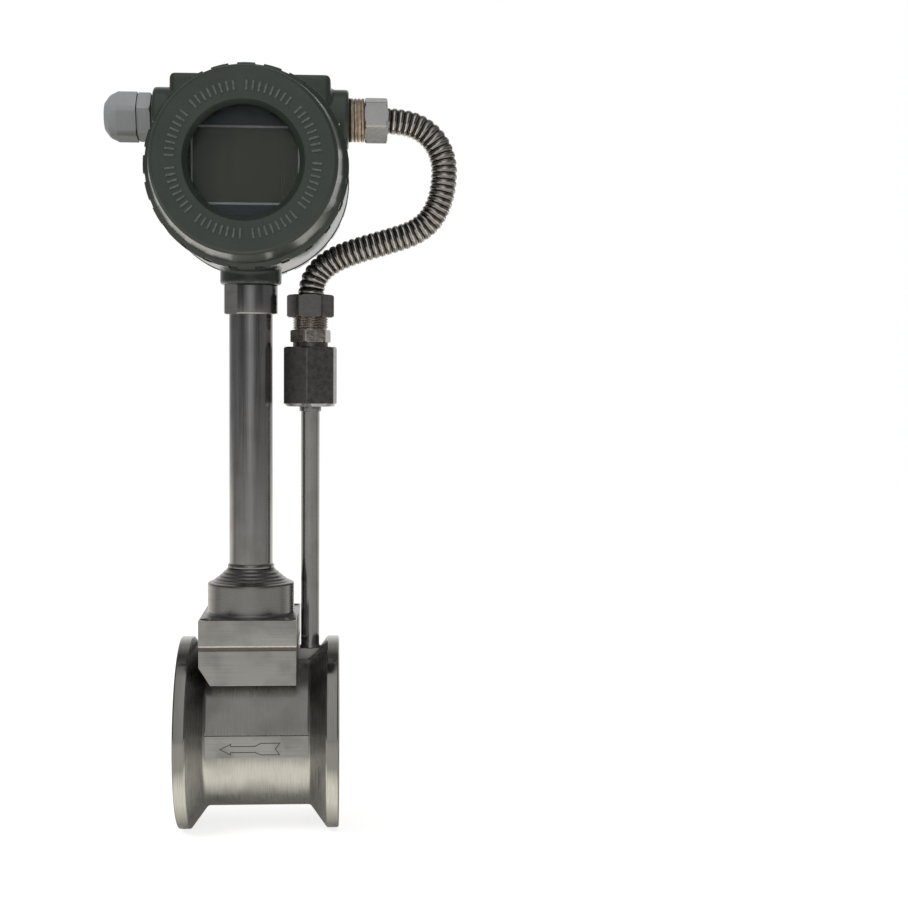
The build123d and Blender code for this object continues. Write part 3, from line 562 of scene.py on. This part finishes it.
def makeBrassAdapter():
    length = brass["length"]
    end = length + brass["threadLength"]
    low = -brass["plugLength"]
    radius = union["threadRadius"]
    rim, plug = picked(brass, "radius", "plug")
    bore = adapter["bore"]
    outline = [(bore, low), (plug - 1.0, low), (plug, low + 0.9)]
    outline += fineRun(plug, low + 1.2, -0.8, 0.2)
    outline += [(plug, 0), (rim - 0.5, 0), (rim, 0.5)]
    outline += fineRun(rim, 0.6, length - 0.6, 0.2)
    outline += [(rim, length - 0.5), (rim - 0.5, length), (radius, length)]
    outline += fineRun(radius, length + 0.3, end - 1.0, adapter["threadStep"])
    outline += [(radius - 1.0, end), (bore, end)]
    spacing = length / (brass["grooves"] + 1)

    def shape(angle, reach, height):
        if low + 1.1 < height < -0.7 and reach > plug - 0.9:
            return reach - threadCut(angle, height, adapter["pitch"], brass["plugThread"])
        if 0.5 < height < length - 0.5 and reach > bore:
            wave = abs((height / spacing + 0.5) % 1.0 - 0.5) * spacing
            return reach - brass["groove"] * max(0.0, 1 - (wave / brass["grooveHalf"]) ** 2)
        if length + 0.2 < height < end - 0.9 and reach > bore:
            return reach - threadCut(angle, height, adapter["pitch"], adapter["threadDepth"])
        return reach
    piece = turnedPiece("brassAdapter", outline, lifted(toInlet, brass["start"] - stemX), 128, shape)
    dressed(piece, "wornBrass", stands=("brass_adapter",))


makeBrassAdapter()
print("unions made")


# tapping: tube with its collar, and the long hexagon of the pressure sensor

tapping = {
    "lugTop": 50.5, "tube": 5.6, "tubeBore": 3.8, "tubeReach": 8.0, "collar": 6.6, "collarHeight": 3.0,
    "couplingBottom": 196.7, "couplingTop": 232.5, "flats": 30.0, "turn": 23.5, "neck": 10.6,
    "neckTop": 235.2, "socket": 9.0, "socketDepth": 23.0, "sensorBore": 2.0, "gap": 0.05,
}


def makeTapping():
    low, foot, tube, bore = picked(tapping, "lugTop", "couplingBottom", "tube", "tubeBore")
    collar = tapping["collar"]
    collarLow = foot - tapping["collarHeight"]
    inside = foot + tapping["tubeReach"]
    outline = [(bore, low), (tube + 0.7, low)]
    outline += rounded([(tube + 0.7, low), (tube + 0.6, low + 0.8, 0.4), (tube, low + 1.6, 0.6),
                        (tube, collarLow, 0.3), (collar, collarLow, 0.5), (collar, foot),
                        (tube, foot)], 5)[1:]
    outline += [(tube, inside), (bore, inside)]
    pipe = turnedPiece("impulseTube", outline, onTap, 96)
    dressed(pipe, "drawnSteel", stands=("impulse_tube",))
    corner = hexCorner(tapping["flats"])
    top, neck, neckTop, socket = picked(tapping, "couplingTop", "neck", "neckTop", "socket")
    seat = neckTop - tapping["socketDepth"]
    sensorBore = tapping["sensorBore"]
    around = tube + tapping["gap"]
    outline = rounded([(around, foot), (corner - 3.0, foot, 0.3), (corner, foot + 1.9, 0.3),
                       (corner, top - 0.9, 0.3), (corner - 1.6, top, 0.3), (neck, top, 0.4),
                       (neck, neckTop, 0.3), (socket, neckTop), (socket, seat), (sensorBore, seat),
                       (sensorBore, inside), (around, inside)], 6)
    hexagon = hexReach(tapping["flats"], tapping["turn"])
    coupling = turnedPiece("pressureCoupling", outline, onTap, 120, hexagon, hexAngles(tapping["turn"]))
    dressed(coupling, "platedSteel", stands=("pressure_coupling",))
    # the chamfer at the foot gets the lighter nut steel as a painted highlight
    partly(coupling, "nutSteel", lambda face: face.normal.z < -0.25 and face.center.z < (foot + 2.2) * mm)


makeTapping()
print("tapping made")


# pipe body: two discs, barrel with milled flats, square head and lug

meterBody = {
    "half": 47.5, "rim": 57.5, "rimWidth": 7.0, "cone": 10.0, "barrel": 43.8, "bore": 32.5, "flat": 43.3,
    "groove": 0.45, "grooveTurn": 0.65, "headWidth": 57.0, "headDepth": 74.4, "headBottom": 34.3,
    "headTop": 54.8, "cutX": 6.7, "cutZ": 10.7, "coreBottom": 33.5, "coreInset": 3.0, "lugHeight": 8.5,
    "lugHalf": 5.8, "lugFoot": 2.8, "lugEdge": 2.1, "stemHole": 8.0, "holeTop": 60.0,
}


def makeMeterBody():
    half, rim, barrel, bore = picked(meterBody, "half", "rim", "barrel", "bore")
    inside = half - meterBody["rimWidth"]
    barrelEnd = inside - meterBody["cone"]
    outline = rounded([(bore, -half, 0.6), (rim, -half, 1), (rim, -inside, 1.2), (barrel, -barrelEnd, 3),
                       (barrel, barrelEnd, 3), (rim, inside, 1.2), (rim, half, 1), (bore, half, 0.6)], 14)
    edgeAngle = math.degrees(math.acos(meterBody["flat"] / barrel))
    grooveAngle = edgeAngle - meterBody["grooveTurn"]
    flatEdges = [turn + side * edge for turn in (0, 180) for side in (-1, 1)
                 for edge in (edgeAngle, grooveAngle, grooveAngle - 0.1)]
    grooveLow = math.radians(grooveAngle - 0.05)
    grooveHigh = math.radians(edgeAngle - 0.05)

    def shape(angle, radius, height):
        fromFlat = abs((angle + math.pi / 2) % math.pi - math.pi / 2)
        if abs(height) > barrelEnd - 0.5 or radius < bore + 1:
            return radius
        reach = min(radius, meterBody["flat"] / max(math.cos(fromFlat), 0.01))
        inGroove = math.sin(angle) > 0 and grooveLow < fromFlat < grooveHigh
        return reach - meterBody["groove"] if inGroove else reach
    body = turnedPiece("meterBody", outline, alongPipe, 200, shape, flatEdges)
    left = stemX - meterBody["headWidth"] / 2
    right = stemX + meterBody["headWidth"] / 2
    low, top = picked(meterBody, "headBottom", "headTop")
    deep = meterBody["headDepth"] / 2
    head = slab("headBlock", [(left, top), (left, low + meterBody["cutZ"]), (left + meterBody["cutX"], low),
                              (right, low), (right, top)], -deep, deep)
    inset, coreLow = picked(meterBody, "coreInset", "coreBottom")
    core = brick("core", (left + inset, -deep / 2, coreLow), (right - inset, deep / 2, low + 2))
    combined(head, [core])
    bevelled(head, 0.9, 14)
    lugTop = tapping["lugTop"]
    lugLow = lugTop - meterBody["lugHeight"]
    reach = tapX + tapping["tube"] + 0.2
    foot, edge, lugHalf = picked(meterBody, "lugFoot", "lugEdge", "lugHalf")
    lug = slab("lug", [(right - 1, lugTop), (right - 1, lugLow), (tapX - foot, lugLow),
                       (reach, lugTop - edge), (reach, lugTop)], tapY - lugHalf, tapY + lugHalf)
    bevelled(lug, 0.7, 14)
    combined(head, [lug])
    for block in (body, head):
        hole = rod("hole", meterBody["stemHole"], 0, meterBody["holeTop"], onStem, 96)
        combined(block, [hole], "DIFFERENCE")
        smoothed(block, 7)
    dressed(head, "linedSteel")
    dressed(body, "satinSteel", stands=("meter_body",))
    # the flats are milled, and the outer edges of the discs are turned smoother
    flatReach = meterBody["flat"] * mm

    def onFlat(face):
        return abs(face.normal.y) > 0.9999 and abs(abs(face.center.y) - flatReach) < 1e-5
    partly(body, "linedSteel", onFlat)
    partly(body, "rimSteel", lambda face: math.hypot(face.center.y, face.center.z) > (rim - 1.3) * mm)


makeMeterBody()

# the flow arrow: a thin outline, a little proud of the milled flat, painted dark as the shade in an engraved
# line
flowArrow = {
    "line": 0.5, "level": -43.36, "thick": 0.1, "mitre": 0.45,
    "corners": [(-21.6, -1.6), (-14.7, 1.9), (-14.7, 0.4), (-1.0, 0.4), (2.5, 2.2), (14.0, 2.2),
                (11.2, -1.4), (13.8, -5.1), (2.5, -5.1), (-1.0, -3.6), (-14.7, -3.6), (-14.7, -5.1)],
}


def makeFlowArrow():
    corners = [Vector(c) for c in flowArrow["corners"]]
    count = len(corners)
    area = sum(a.x * b.y - a.y * b.x for a, b in zip(corners, corners[1:] + corners[:1]))
    inner = []
    for index, here in enumerate(corners):
        arriving = (here - corners[index - 1]).normalized()
        leaving = (corners[(index + 1) % count] - here).normalized()
        across = Vector((-arriving.y, arriving.x))
        inward = (across + Vector((-leaving.y, leaving.x))).normalized()
        if area < 0:
            inward = -inward
        mitre = max(flowArrow["mitre"], abs(inward.dot(across)))
        inner.append(here + inward * flowArrow["line"] / mitre)
    verts = []
    for depth in (flowArrow["level"], flowArrow["level"] + flowArrow["thick"]):
        verts += [(c.x, depth, c.y) for c in corners + inner]
    faces = []
    for low, high in ((0, 1), (2, 3), (0, 2), (1, 3)):
        faces += wall(low * count, high * count, count)
    dressed(newPiece("flowArrow", verts, faces), "engravedLineShade")


makeFlowArrow()
print("pipe body made")


# bonnet: plate with four counterbores, turned boss and welding cone

bonnet = {
    "bottom": 57.7, "top": 72.5, "inset": 5.9, "pocket": 5.3, "pocketDepth": 7.2, "boss": 25.9, "foot": 0.9,
    "bossTop": 91.0, "coneTop": 99.2, "coneRadius": 14.4, "coneCurve": 1.3, "bore": 8.0, "steps": 5,
    "cutLow": 50.0, "cutHigh": 80.0,
}


# a sheet or plate as wide and as deep as the square head
def headPlate(name, low, high):
    across = meterBody["headWidth"] / 2
    along = meterBody["headDepth"] / 2
    return brick(name, (stemX - across, -along, low), (stemX + across, along, high))


def makeBonnet():
    top, radius, steps = picked(bonnet, "top", "boss", "steps")
    across = meterBody["headWidth"] / 2 - bonnet["inset"]
    along = meterBody["headDepth"] / 2 - bonnet["inset"]
    plate = headPlate("bonnetPlate", bonnet["bottom"], top)
    pockets = []
    for x, y in ((-across, -along), (-across, along), (across, -along), (across, along)):
        spot = Matrix.Translation((stemX + x, y, 0))
        pockets.append(rod("pocket", bonnet["pocket"], top - bonnet["pocketDepth"], bonnet["cutHigh"], spot))
    combined(plate, pockets, "DIFFERENCE")
    bevelled(plate, 0.5, 3, 40)
    wide = radius + bonnet["foot"]
    outline = [(bonnet["bore"], top - 3), (wide, top - 3), (wide, top)]
    outline += rounded([(wide, top), (radius, top + 0.9, 0.6), (radius, top + 1.5)], 4)[1:]
    bossTop = bonnet["bossTop"]
    corners = [(radius, bossTop - 2.2), (radius, bossTop - 0.6, 1.0)]
    start = radius - 0.8
    run = start - bonnet["coneRadius"]
    rise = bonnet["coneTop"] - bossTop
    for step in range(steps):
        near = step / steps
        far = (step + 1) / steps
        lowRise = near ** bonnet["coneCurve"]
        midRise = (lowRise + far ** bonnet["coneCurve"]) / 2
        corners.append((start - run * near, bossTop + rise * lowRise, 0.3))
        corners.append((start - run * (far - 0.3 / steps), bossTop + rise * midRise, 0.3))
    corners += [(bonnet["coneRadius"], bonnet["coneTop"]), (bonnet["bore"], bonnet["coneTop"])]
    outline += rounded(corners, 4)
    dressed(turnedPiece("bonnetBoss", outline, onStem, 160), "turnedSteel")
    lead = rod("lead", radius - 1, bonnet["cutLow"], bonnet["cutHigh"], onStem, 96)
    combined(plate, [lead], "DIFFERENCE")
    smoothed(plate, 30)
    dressed(plate, "linedSteel", stands=("bonnet",))


makeBonnet()

# the brown sheet between head and bonnet, with a thin pale layer above it as a painted highlight where the
# plate's lower edge catches light
gasketLayers = [
    {"name": "bonnetGasket", "low": 54.8, "high": 56.8, "look": "fibreSheet", "stands": ("bonnet_gasket",)},
    {"name": "gasketHighlight", "low": 56.8, "high": 57.7, "look": "paintedHighlightSheet", "stands": ()},
]
for layer in gasketLayers:
    sheet = bevelled(headPlate(layer["name"], layer["low"], layer["high"]), 0.3, 3)
    dressed(smoothed(sheet, 50), layer["look"], stands=layer["stands"])
print("bonnet made")


# stem, its weld and the collar under the head

stem = {
    "radius": 13.0, "bore": 10.0, "bottom": 99.2, "top": 269.1, "spigot": 14.0, "weld": 0.95,
    "weldHeight": 3.2, "weldBeads": 44, "collar": 16.0, "collarHeight": 17.6, "flats": 29.4, "turn": 40.0,
}


def makeStem():
    low, radius, bore = picked(stem, "bottom", "radius", "bore")
    end = stem["top"] + stem["spigot"]
    outline = [(bore, low)]
    outline += fineRun(radius, low, low + stem["weldHeight"], 0.2)
    outline += [(radius, low + 6), (radius, end - 1), (radius - 1, end), (bore, end)]

    # the weld's beads swell the foot of the tube
    def weldShape(angle, reach, height):
        rise = (height - low) / stem["weldHeight"]
        if reach <= bore or rise >= 1:
            return reach
        ripple = 0.875 + 0.125 * abs(math.sin((angle + rise * 0.25) * stem["weldBeads"] / 2))
        return reach + stem["weld"] * math.sin(math.pi * min(1, rise * 0.9 + 0.1)) ** 0.7 * ripple
    tube = turnedPiece("stemTube", outline, onStem, 176, weldShape)
    dressed(tube, "drawnSteel", stands=("stem_tube",))
    around = radius + 0.05
    wide = stem["collar"]
    halfFlats = stem["flats"] / 2
    foot = stem["top"] - stem["collarHeight"]
    top = stem["top"]
    outline = rounded([(around, foot), (wide, foot, 0.8), (wide, top, 0.8), (around, top)], 5)

    def flatShape(angle, reach, height):
        fromFlat = (angle - math.radians(stem["turn"]) + math.pi / 2) % math.pi - math.pi / 2
        return min(reach, halfFlats / max(math.cos(fromFlat), 0.05))
    edge = math.degrees(math.acos(halfFlats / wide))
    edges = [stem["turn"] + side + shift for side in (0, 180) for shift in (-edge, edge)]
    collar = turnedPiece("stemCollar", outline, onStem, 144, flatShape, edges)
    dressed(collar, "drawnSteel", stands=("stem_collar",))
    # the lower edge gets a painted highlight, and the wrench flats are milled
    partly(collar, "paintedHighlightSteel", lambda face: face.normal.z < -0.3 and face.center.z < (foot + 0.7) * mm)
    axis = Vector((stemX, 0, 0))

    def onFlat(face):
        spoke = face.center / mm - axis
        out = spoke.x * face.normal.x + spoke.y * face.normal.y
        return abs(face.normal.z) < 0.1 and radius + 1 < out < halfFlats + 0.05
    partly(collar, "linedSteel", onFlat)


makeStem()
print("stem made")


# display head: cast drum with two chambers, shoulder, entries and neck

housing = {
    "radius": 58.0, "bore": 50.0, "half": 34.0, "webFront": 4.0, "shoulderWidth": 95.0, "shoulderTop": 393.6,
    "shoulderFront": 8.0, "shoulderBack": 28.0, "boss": 18.0, "entry": 10.0, "entryStart": 18.0,
    "reach": 58.2, "neck": 18.3, "neckBottom": 269.1, "neckStraight": 12.0, "neckHeight": 22.0,
    "voxel": 1.0, "feed": 6.0, "feedOffset": 24.0, "feedSpan": (-3.0, 8.0), "wireWay": 8.0,
    "socket": 13.2, "socketTop": 283.4, "cutLow": 260.0, "cutHigh": 292.0, "beyond": 60.0, "entryEnd": 70.0,
}


def makeHousing():
    radius, half, reach, low, wide = picked(housing, "radius", "half", "reach", "neckBottom", "neck")
    outline = rounded([(0, -half), (radius, -half, 1.5), (radius, half, 1.5), (0, half)], 4)
    drum = turnedPiece("headCasting", outline, outFront, 192)
    across = housing["shoulderWidth"] / 2
    shoulder = brick("shoulder", (stemX - across, -housing["shoulderFront"], drumZ),
                     (stemX + across, housing["shoulderBack"], housing["shoulderTop"]))
    bevelled(shoulder, 3.0, 5)
    outline = rounded([(0, 0), (housing["boss"], 0), (housing["boss"], reach, 1.6), (0, reach)], 4)
    bosses = [turnedPiece("boss", outline, place, 96) for place in (toInlet, toOutlet)]
    high = low + housing["neckHeight"]
    outline = rounded([(0, low), (wide, low, 1.2), (wide, low + housing["neckStraight"], 3.0),
                       (wide + 5, high), (0, high)], 4)
    combined(drum, [shoulder, *bosses, turnedPiece("neck", outline, onStem, 96)])
    cast = drum.modifiers.new("cast", "REMESH")
    cast.mode = "VOXEL"
    cast.voxel_size = housing["voxel"] * mm
    soften = drum.modifiers.new("soften", "SMOOTH")
    soften.factor = 0.5
    soften.iterations = 2
    applied(drum)
    bore, beyond, below = picked(housing, "bore", "beyond", "cutLow")
    feedPlace = outFront @ Matrix.Translation((0, housing["feedOffset"], 0))
    cuts = [
        rod("front", bore, housing["webFront"], beyond, outFront, 192),
        rod("rear", bore, 0, beyond, outBack, 192),
        rod("feed", housing["feed"], *housing["feedSpan"], feedPlace, 48),
        rod("way", housing["wireWay"], below, housing["cutHigh"], onStem, 48),
        rod("socket", housing["socket"], below, housing["socketTop"], onStem),
    ]
    for place in (toInlet, toOutlet):
        cuts.append(rod("entry", housing["entry"], housing["entryStart"], housing["entryEnd"], place))
    for cut in cuts:
        combined(drum, [cut], "DIFFERENCE")
    smoothed(drum, 40)
    dressed(drum, "castPaint", stands=("housing",))

    # the downward-facing lower edge of the neck gets a lighter paint: painted light from below
    def litUnderEdge(face):
        out = math.hypot(face.center.x / mm - stemX, face.center.y / mm)
        return -0.95 < face.normal.z < -0.3 and face.center.z < (low + 1.5) * mm and out > wide - 2
    partly(drum, "lighterPaint", litUnderEdge)


makeHousing()
print("housing made")


# covers: notched rim, tapered band, threaded spigot; the front one has the window and a ring of ticks

cover = {
    "rim": 58.5, "rimLength": 11.0, "band": 55.5, "edge": 52.6, "bore": 43.0, "spigot": 49.7, "reach": 12.0,
    "groove": 46.4, "grooveLow": -4.2, "grooveHigh": -0.6, "notches": 24, "notchWidth": 5.0,
    "notchDepth": 1.0, "flange": 2.0, "gap": 0.3, "pitch": 2.0, "threadDepth": 0.9, "frontDepth": 37.3,
    "rearDepth": 25.0, "window": 31.0, "bevel": 34.0, "bevelDepth": 4.0, "seat": 37.55, "seatTop": 33.0,
    "frontCavity": 20.2, "rearCavity": 19.0, "recess": 40.0, "recessDepth": 1.2,
}
frontRim = lifted(outFront, housing["half"])
rearRim = lifted(outBack, housing["half"])


# heights count from the rim of the drum; the last corner is on the cover's face
def coverOutline(depth):
    spigot = cover["spigot"]
    low = -cover["reach"]
    groove, rim, length, edge, gap = picked(cover, "groove", "rim", "rimLength", "edge", "gap")
    outline = [(cover["bore"], low), (spigot - 1, low)]
    outline += fineRun(spigot, low + 1, cover["grooveLow"] - 0.2, 0.25)
    outline += [(spigot, cover["grooveLow"]), (groove, cover["grooveLow"]), (groove, cover["grooveHigh"])]
    outline += [(spigot, cover["grooveHigh"]), (spigot, gap)]
    outline += rounded([(spigot, gap), (rim, gap, 0.6), (rim, cover["flange"])], 3)[1:]
    outline += rounded([(rim, cover["flange"] + 0.02), (rim, length, 0.8),
                        (cover["band"], length + 1.8, 1.2), (edge, depth - 2.2, 1.2),
                        (edge - 1.8, depth, 0.8), (cover["bevel"] + 4, depth)], 6)
    return outline


def coverShape(angle, radius, height):
    if -cover["reach"] + 0.9 < height < cover["grooveLow"] - 0.1 and radius > cover["groove"]:
        return radius - threadCut(angle, height, cover["pitch"], cover["threadDepth"])
    pitch = 2 * math.pi / cover["notches"]
    fromNotch = abs(angle % pitch - pitch / 2)
    halfNotch = math.asin(cover["notchWidth"] / 2 / cover["rim"])
    if cover["flange"] + 0.01 < height < cover["rimLength"] + 2.5 and fromNotch < halfNotch:
        return min(radius, cover["rim"] - cover["notchDepth"])
    return radius


def notchAngles():
    pitch = 360 / cover["notches"]
    half = math.degrees(math.asin(cover["notchWidth"] / 2 / cover["rim"]))
    return [pitch * (step + 0.5) + side * (half + shift)
            for step in range(cover["notches"]) for side in (-1, 1) for shift in (-0.02, 0.02)]


ticks = {
    "count": 72, "skip": 9, "inner": 38.0, "outer": 43.8, "width": 1.5, "rise": 0.7, "sunk": 0.3,
    "taper": 0.28,
}


def makeTicks():
    depth = cover["frontDepth"]
    rise = ticks["rise"]
    levels = [(depth - ticks["sunk"], 0.0), (depth + rise / 2, 0.0), (depth + rise, ticks["taper"])]
    verts = []
    faces = []
    for step in range(ticks["count"]):
        if step % ticks["skip"] == 0:
            continue
        spin = frontRim @ Matrix.Rotation(2 * math.pi * (step + 0.5) / ticks["count"], 4, "Z")
        first = len(verts)
        for height, taper in levels:
            half = ticks["width"] / 2 - taper
            near = ticks["inner"] + taper
            far = ticks["outer"] - taper
            for radius, side in ((near, -half), (far, -half), (far, half), (near, half)):
                verts.append(spin @ Vector((radius, side, height)))
        faces += wall(first, first + 4, 4) + wall(first + 4, first + 8, 4)
        faces.append([first + 3, first + 2, first + 1, first])
        faces.append([first + 8, first + 9, first + 10, first + 11])
    # the ticks are in a lighter paint than the face
    dressed(newPiece("coverTicks", verts, faces), "lighterPaint", "front_cover_body")


def makeFrontCover():
    depth, bevel, window, seat, seatTop = picked(cover, "frontDepth", "bevel", "window", "seat", "seatTop")
    cavity = cover["frontCavity"]
    outline = coverOutline(depth)
    outline += rounded([(bevel + 4, depth), (bevel, depth, 0.8), (window, depth - cover["bevelDepth"], 0.8),
                        (window, seatTop), (seat, seatTop), (seat, cavity), (cover["bore"], cavity)], 5)[1:]
    shell = turnedPiece("frontCover", outline, frontRim, 216, coverShape, notchAngles())
    dressed(shell, "castPaint", "front_cover_body", ("front_cover",))


def makeRearCover():
    depth = cover["rearDepth"]
    floor = depth - cover["recessDepth"]
    recess, cavity = picked(cover, "recess", "rearCavity")
    outline = coverOutline(depth)[:-1]
    outline += rounded([(cover["edge"] - 8, depth), (recess, depth, 0.6), (recess - 1, floor, 0.6),
                        (0, floor), (0, cavity), (cover["bore"], cavity, 2.0)], 4)
    shell = turnedPiece("rearCover", outline, rearRim, 216, coverShape, notchAngles())
    dressed(shell, "castPaint", "rear_cover_body", ("rear_cover",))


makeFrontCover()
makeTicks()
makeRearCover()

glass = {"radius": 37.5, "top": 32.2, "thick": 7.5, "edge": 0.6}


def makeWindowGlass():
    radius, top = picked(glass, "radius", "top")
    low = top - glass["thick"]
    outline = rounded([(0, low), (radius, low, glass["edge"]), (radius, top, glass["edge"]), (0, top)], 3)
    pane = turnedPiece("windowGlass", outline, frontRim, 160)
    dressed(pane, "clearGlass", "front_cover_body", ("window_glass",))


makeWindowGlass()
print("covers made")


# the pale edge of the panel, proud of the display plate
bezel = {"width": 59.2, "height": 42.0, "drop": 0.8, "bar": 1.3, "side": 1.0, "face": 53.25, "back": 52.4}


def makeBezel():
    across = bezel["width"] / 2
    along = bezel["height"] / 2
    bar, side = picked(bezel, "bar", "side")
    middle = drumZ - bezel["drop"]
    areas = [
        (-across, -along - bar, across, -along), (-across - side, -along, -across, along),
        (-across, along, across, along + bar), (across, -along, across + side, along),
    ]
    bars = []
    for left, low, right, high in areas:
        near = (stemX + left, -bezel["face"], middle + low)
        far = (stemX + right, -bezel["back"], middle + high)
        bars.append(bevelled(brick("bar", near, far), 0.12, 2))
    dressed(joined("panelBezel", bars), "bezelGrey")


makeBezel()
print("window made")


# cable gland: cap nut that runs out into a dome

gland = {
    "flats": 27.6, "radius": 14.6, "start": 9.5, "length": 19.4, "hexLength": 11.0, "domeLength": 5.2,
    "mouth": 6.0, "mouthDepth": 2.4, "cable": 7.5, "stub": 11.8, "turn": 12.0, "cornerCut": 0.9,
}


def makeGlandNut():
    start = housing["reach"] + gland["start"]
    end = start + gland["length"]
    dome = start + gland["hexLength"]
    wide = gland["radius"] + 0.6
    mouth = gland["mouth"]
    inside = end - gland["mouthDepth"]
    outline = rounded([(gland["stub"], start), (wide, start, 0.5), (wide, dome, 3.0),
                       (gland["radius"] - 2.0, dome + gland["domeLength"], 5.0), (mouth + 2.2, end, 0.9),
                       (mouth, end, 0.5), (mouth, inside), (gland["cable"], inside),
                       (gland["stub"], dome)], 7)
    hexagon = hexReach(gland["flats"], gland["turn"], gland["cornerCut"])
    cap = turnedPiece("glandNut", outline, toOutlet, 128, hexagon, hexAngles(gland["turn"]))
    dressed(cap, "greyPlastic", "gland_nut_body", ("gland_dome_nut",))


makeGlandNut()
print("gland made")


# floor, backdrop light and lamps

# where the floor that metal mirrors is bright: reaches in metres from the middle, and depths behind it
floorLook = {
    "size": 6.0, "level": -57.6, "glow": 0.79, "color": (0.5, 0.495, 0.47), "tint": (1.0, 0.965, 0.87),
    "rough": 0.9, "nearSpan": (0.105, 0.16), "near": (1.73, 0.0), "farSpan": (0.12, 0.8),
    "far": (0.49, 0.245), "underSpan": (-0.05, -0.022), "under": (1.0, 0.1), "behindSpan": (0.15, 0.8),
    "behind": (0.0, 1.08),
}


def makeFloor():
    size = floorLook["size"] / 2 / mm
    level = floorLook["level"]
    corners = [(-size, -size, level), (size, -size, level), (size, size, level), (-size, size, level)]
    floor = newPiece("floor", corners, [[0, 1, 2, 3]])
    paper = bpy.data.materials.new("paper")
    paper.use_nodes = True
    tree = paper.node_tree
    rays = addNode(tree, "LightPath").outputs
    coords = addNode(tree, "TexCoord").outputs["Object"]
    reach = addNode(tree, "VectorMath", {"Vector": coords}, operation="LENGTH").outputs["Value"]
    depth = addNode(tree, "SeparateXYZ", {"Vector": coords}).outputs["Y"]
    near, far = [lookRange(tree, reach, floorLook, part) for part in ("near", "far")]
    under, behind = [lookRange(tree, depth, floorLook, part) for part in ("under", "behind")]
    # the glow that metal mirrors is dimmed under and just behind the object: a painted shadow
    pool = addMath(tree, "MULTIPLY", addMath(tree, "MAXIMUM", near, far), under)
    pool = addMath(tree, "MAXIMUM", pool, behind)
    seen = addMath(tree, "MULTIPLY", rays["Is Glossy Ray"], pool)
    seen = addMath(tree, "MAXIMUM", rays["Is Camera Ray"], seen)
    seen = addMath(tree, "MAXIMUM", seen, rays["Is Transmission Ray"])
    tint = addNode(tree, "Mix", {
        "Factor": rays["Is Glossy Ray"], "A": (1, 1, 1, 1), "B": (*floorLook["tint"], 1),
    }, data_type="RGBA")
    feed(tree, tree.nodes["Principled BSDF"], {
        "Base Color": (*floorLook["color"], 1), "Roughness": floorLook["rough"], "Specular IOR Level": 0.0,
        "Emission Color": tint.outputs["Result"],
        "Emission Strength": addMath(tree, "MULTIPLY", seen, floorLook["glow"]),
    })
    floor.data.materials.append(paper)


# spans are of the heading of the ray, whose Y points away from the camera's side
worldLook = {
    "ambient": 0.46, "room": 0.11, "front": 0.56, "besideSpan": (0.78, 0.92), "beside": (0.0, 0.1),
    "edgeSpan": (0.42, 0.7), "edge": (0.0, 0.34), "behindSpan": (0.75, 0.95), "behind": (0.0, 0.56),
    "levelSpan": (0.06, 0.5), "level": (1.0, 0.0), "facingSpan": (-0.2, 0.3), "facing": (1.0, 0.0),
    "heightSpan": (0.0, 0.9), "height": (0.85, 0.95),
}


# white where the camera looks; metal sees a white backdrop behind and a soft light in front of the object
def makeWorld():
    world = bpy.data.worlds.new("studio")
    bpy.context.scene.world = world
    world.use_nodes = True
    tree = world.node_tree
    rays = addNode(tree, "LightPath").outputs
    coords = addNode(tree, "TexCoord").outputs["Generated"]
    heading = addNode(tree, "SeparateXYZ", {"Vector": coords}).outputs
    sideways = addMath(tree, "ABSOLUTE", heading["X"])
    mirrored = worldLook["front"]
    for source, part in ((sideways, "level"), (heading["Y"], "facing"), (heading["Z"], "height")):
        mirrored = addMath(tree, "MULTIPLY", mirrored, lookRange(tree, source, worldLook, part))
    for source, part in ((sideways, "beside"), (heading["Y"], "edge"), (heading["Y"], "behind")):
        mirrored = addMath(tree, "ADD", mirrored, lookRange(tree, source, worldLook, part))
    extra = addMath(tree, "ADD", mirrored, worldLook["room"] - worldLook["ambient"])
    extra = addMath(tree, "MULTIPLY", extra, rays["Is Glossy Ray"])
    plain = addMath(tree, "ADD", extra, worldLook["ambient"])
    direct = addMath(tree, "MAXIMUM", rays["Is Camera Ray"], rays["Is Transmission Ray"])
    feed(tree, tree.nodes["Background"], {
        "Color": (1, 1, 1, 1), "Strength": addMath(tree, "MAXIMUM", plain, direct),
    })


# places and sizes in metres
lamps = [
    {"name": "keyLamp", "place": (-0.9, -1.3, 1.3), "size": 0.7, "power": 16.0},
    {"name": "fillLamp", "place": (1.3, -1.0, 0.7), "size": 1.1, "power": 3.5},
    {"name": "topLamp", "place": (0.1, 0.5, 1.7), "size": 1.0, "power": 3.0},
]


def makeLamps():
    target = Vector((0, 0, 0.18))
    for lamp in lamps:
        light = bpy.data.lights.new(lamp["name"], "AREA")
        light.energy = lamp["power"]
        light.size = lamp["size"]
        holder = newObject(lamp["name"], light)
        holder.location = lamp["place"]
        holder.rotation_euler = (target - holder.location).to_track_quat("-Z", "Y").to_euler()
        holder.visible_glossy = False


view = {
    "place": (52.98, -990.77, 212.94), "yaw": 3.68, "pitch": -2.58, "roll": 0.29, "lens": 65.0,
    "sensor": 36.0, "near": 0.05, "far": 50.0,
}


def makeCamera():
    lens = bpy.data.cameras.new("camera")
    lens.lens = view["lens"]
    lens.sensor_width = view["sensor"]
    lens.clip_start = view["near"]
    lens.clip_end = view["far"]
    camera = newObject("camera", lens)
    camera.matrix_world = Matrix.Translation(Vector(view["place"]) * mm)
    for turn, axis in ((-view["yaw"], "Z"), (90 + view["pitch"], "X"), (view["roll"], "Z")):
        camera.matrix_world = camera.matrix_world @ Matrix.Rotation(math.radians(turn), 4, axis)
    bpy.context.scene.camera = camera


makeFloor()
makeWorld()
makeLamps()
makeCamera()
bpy.context.scene.view_settings.view_transform = "Standard"
print("studio made")

bpy.context.view_layer.update()
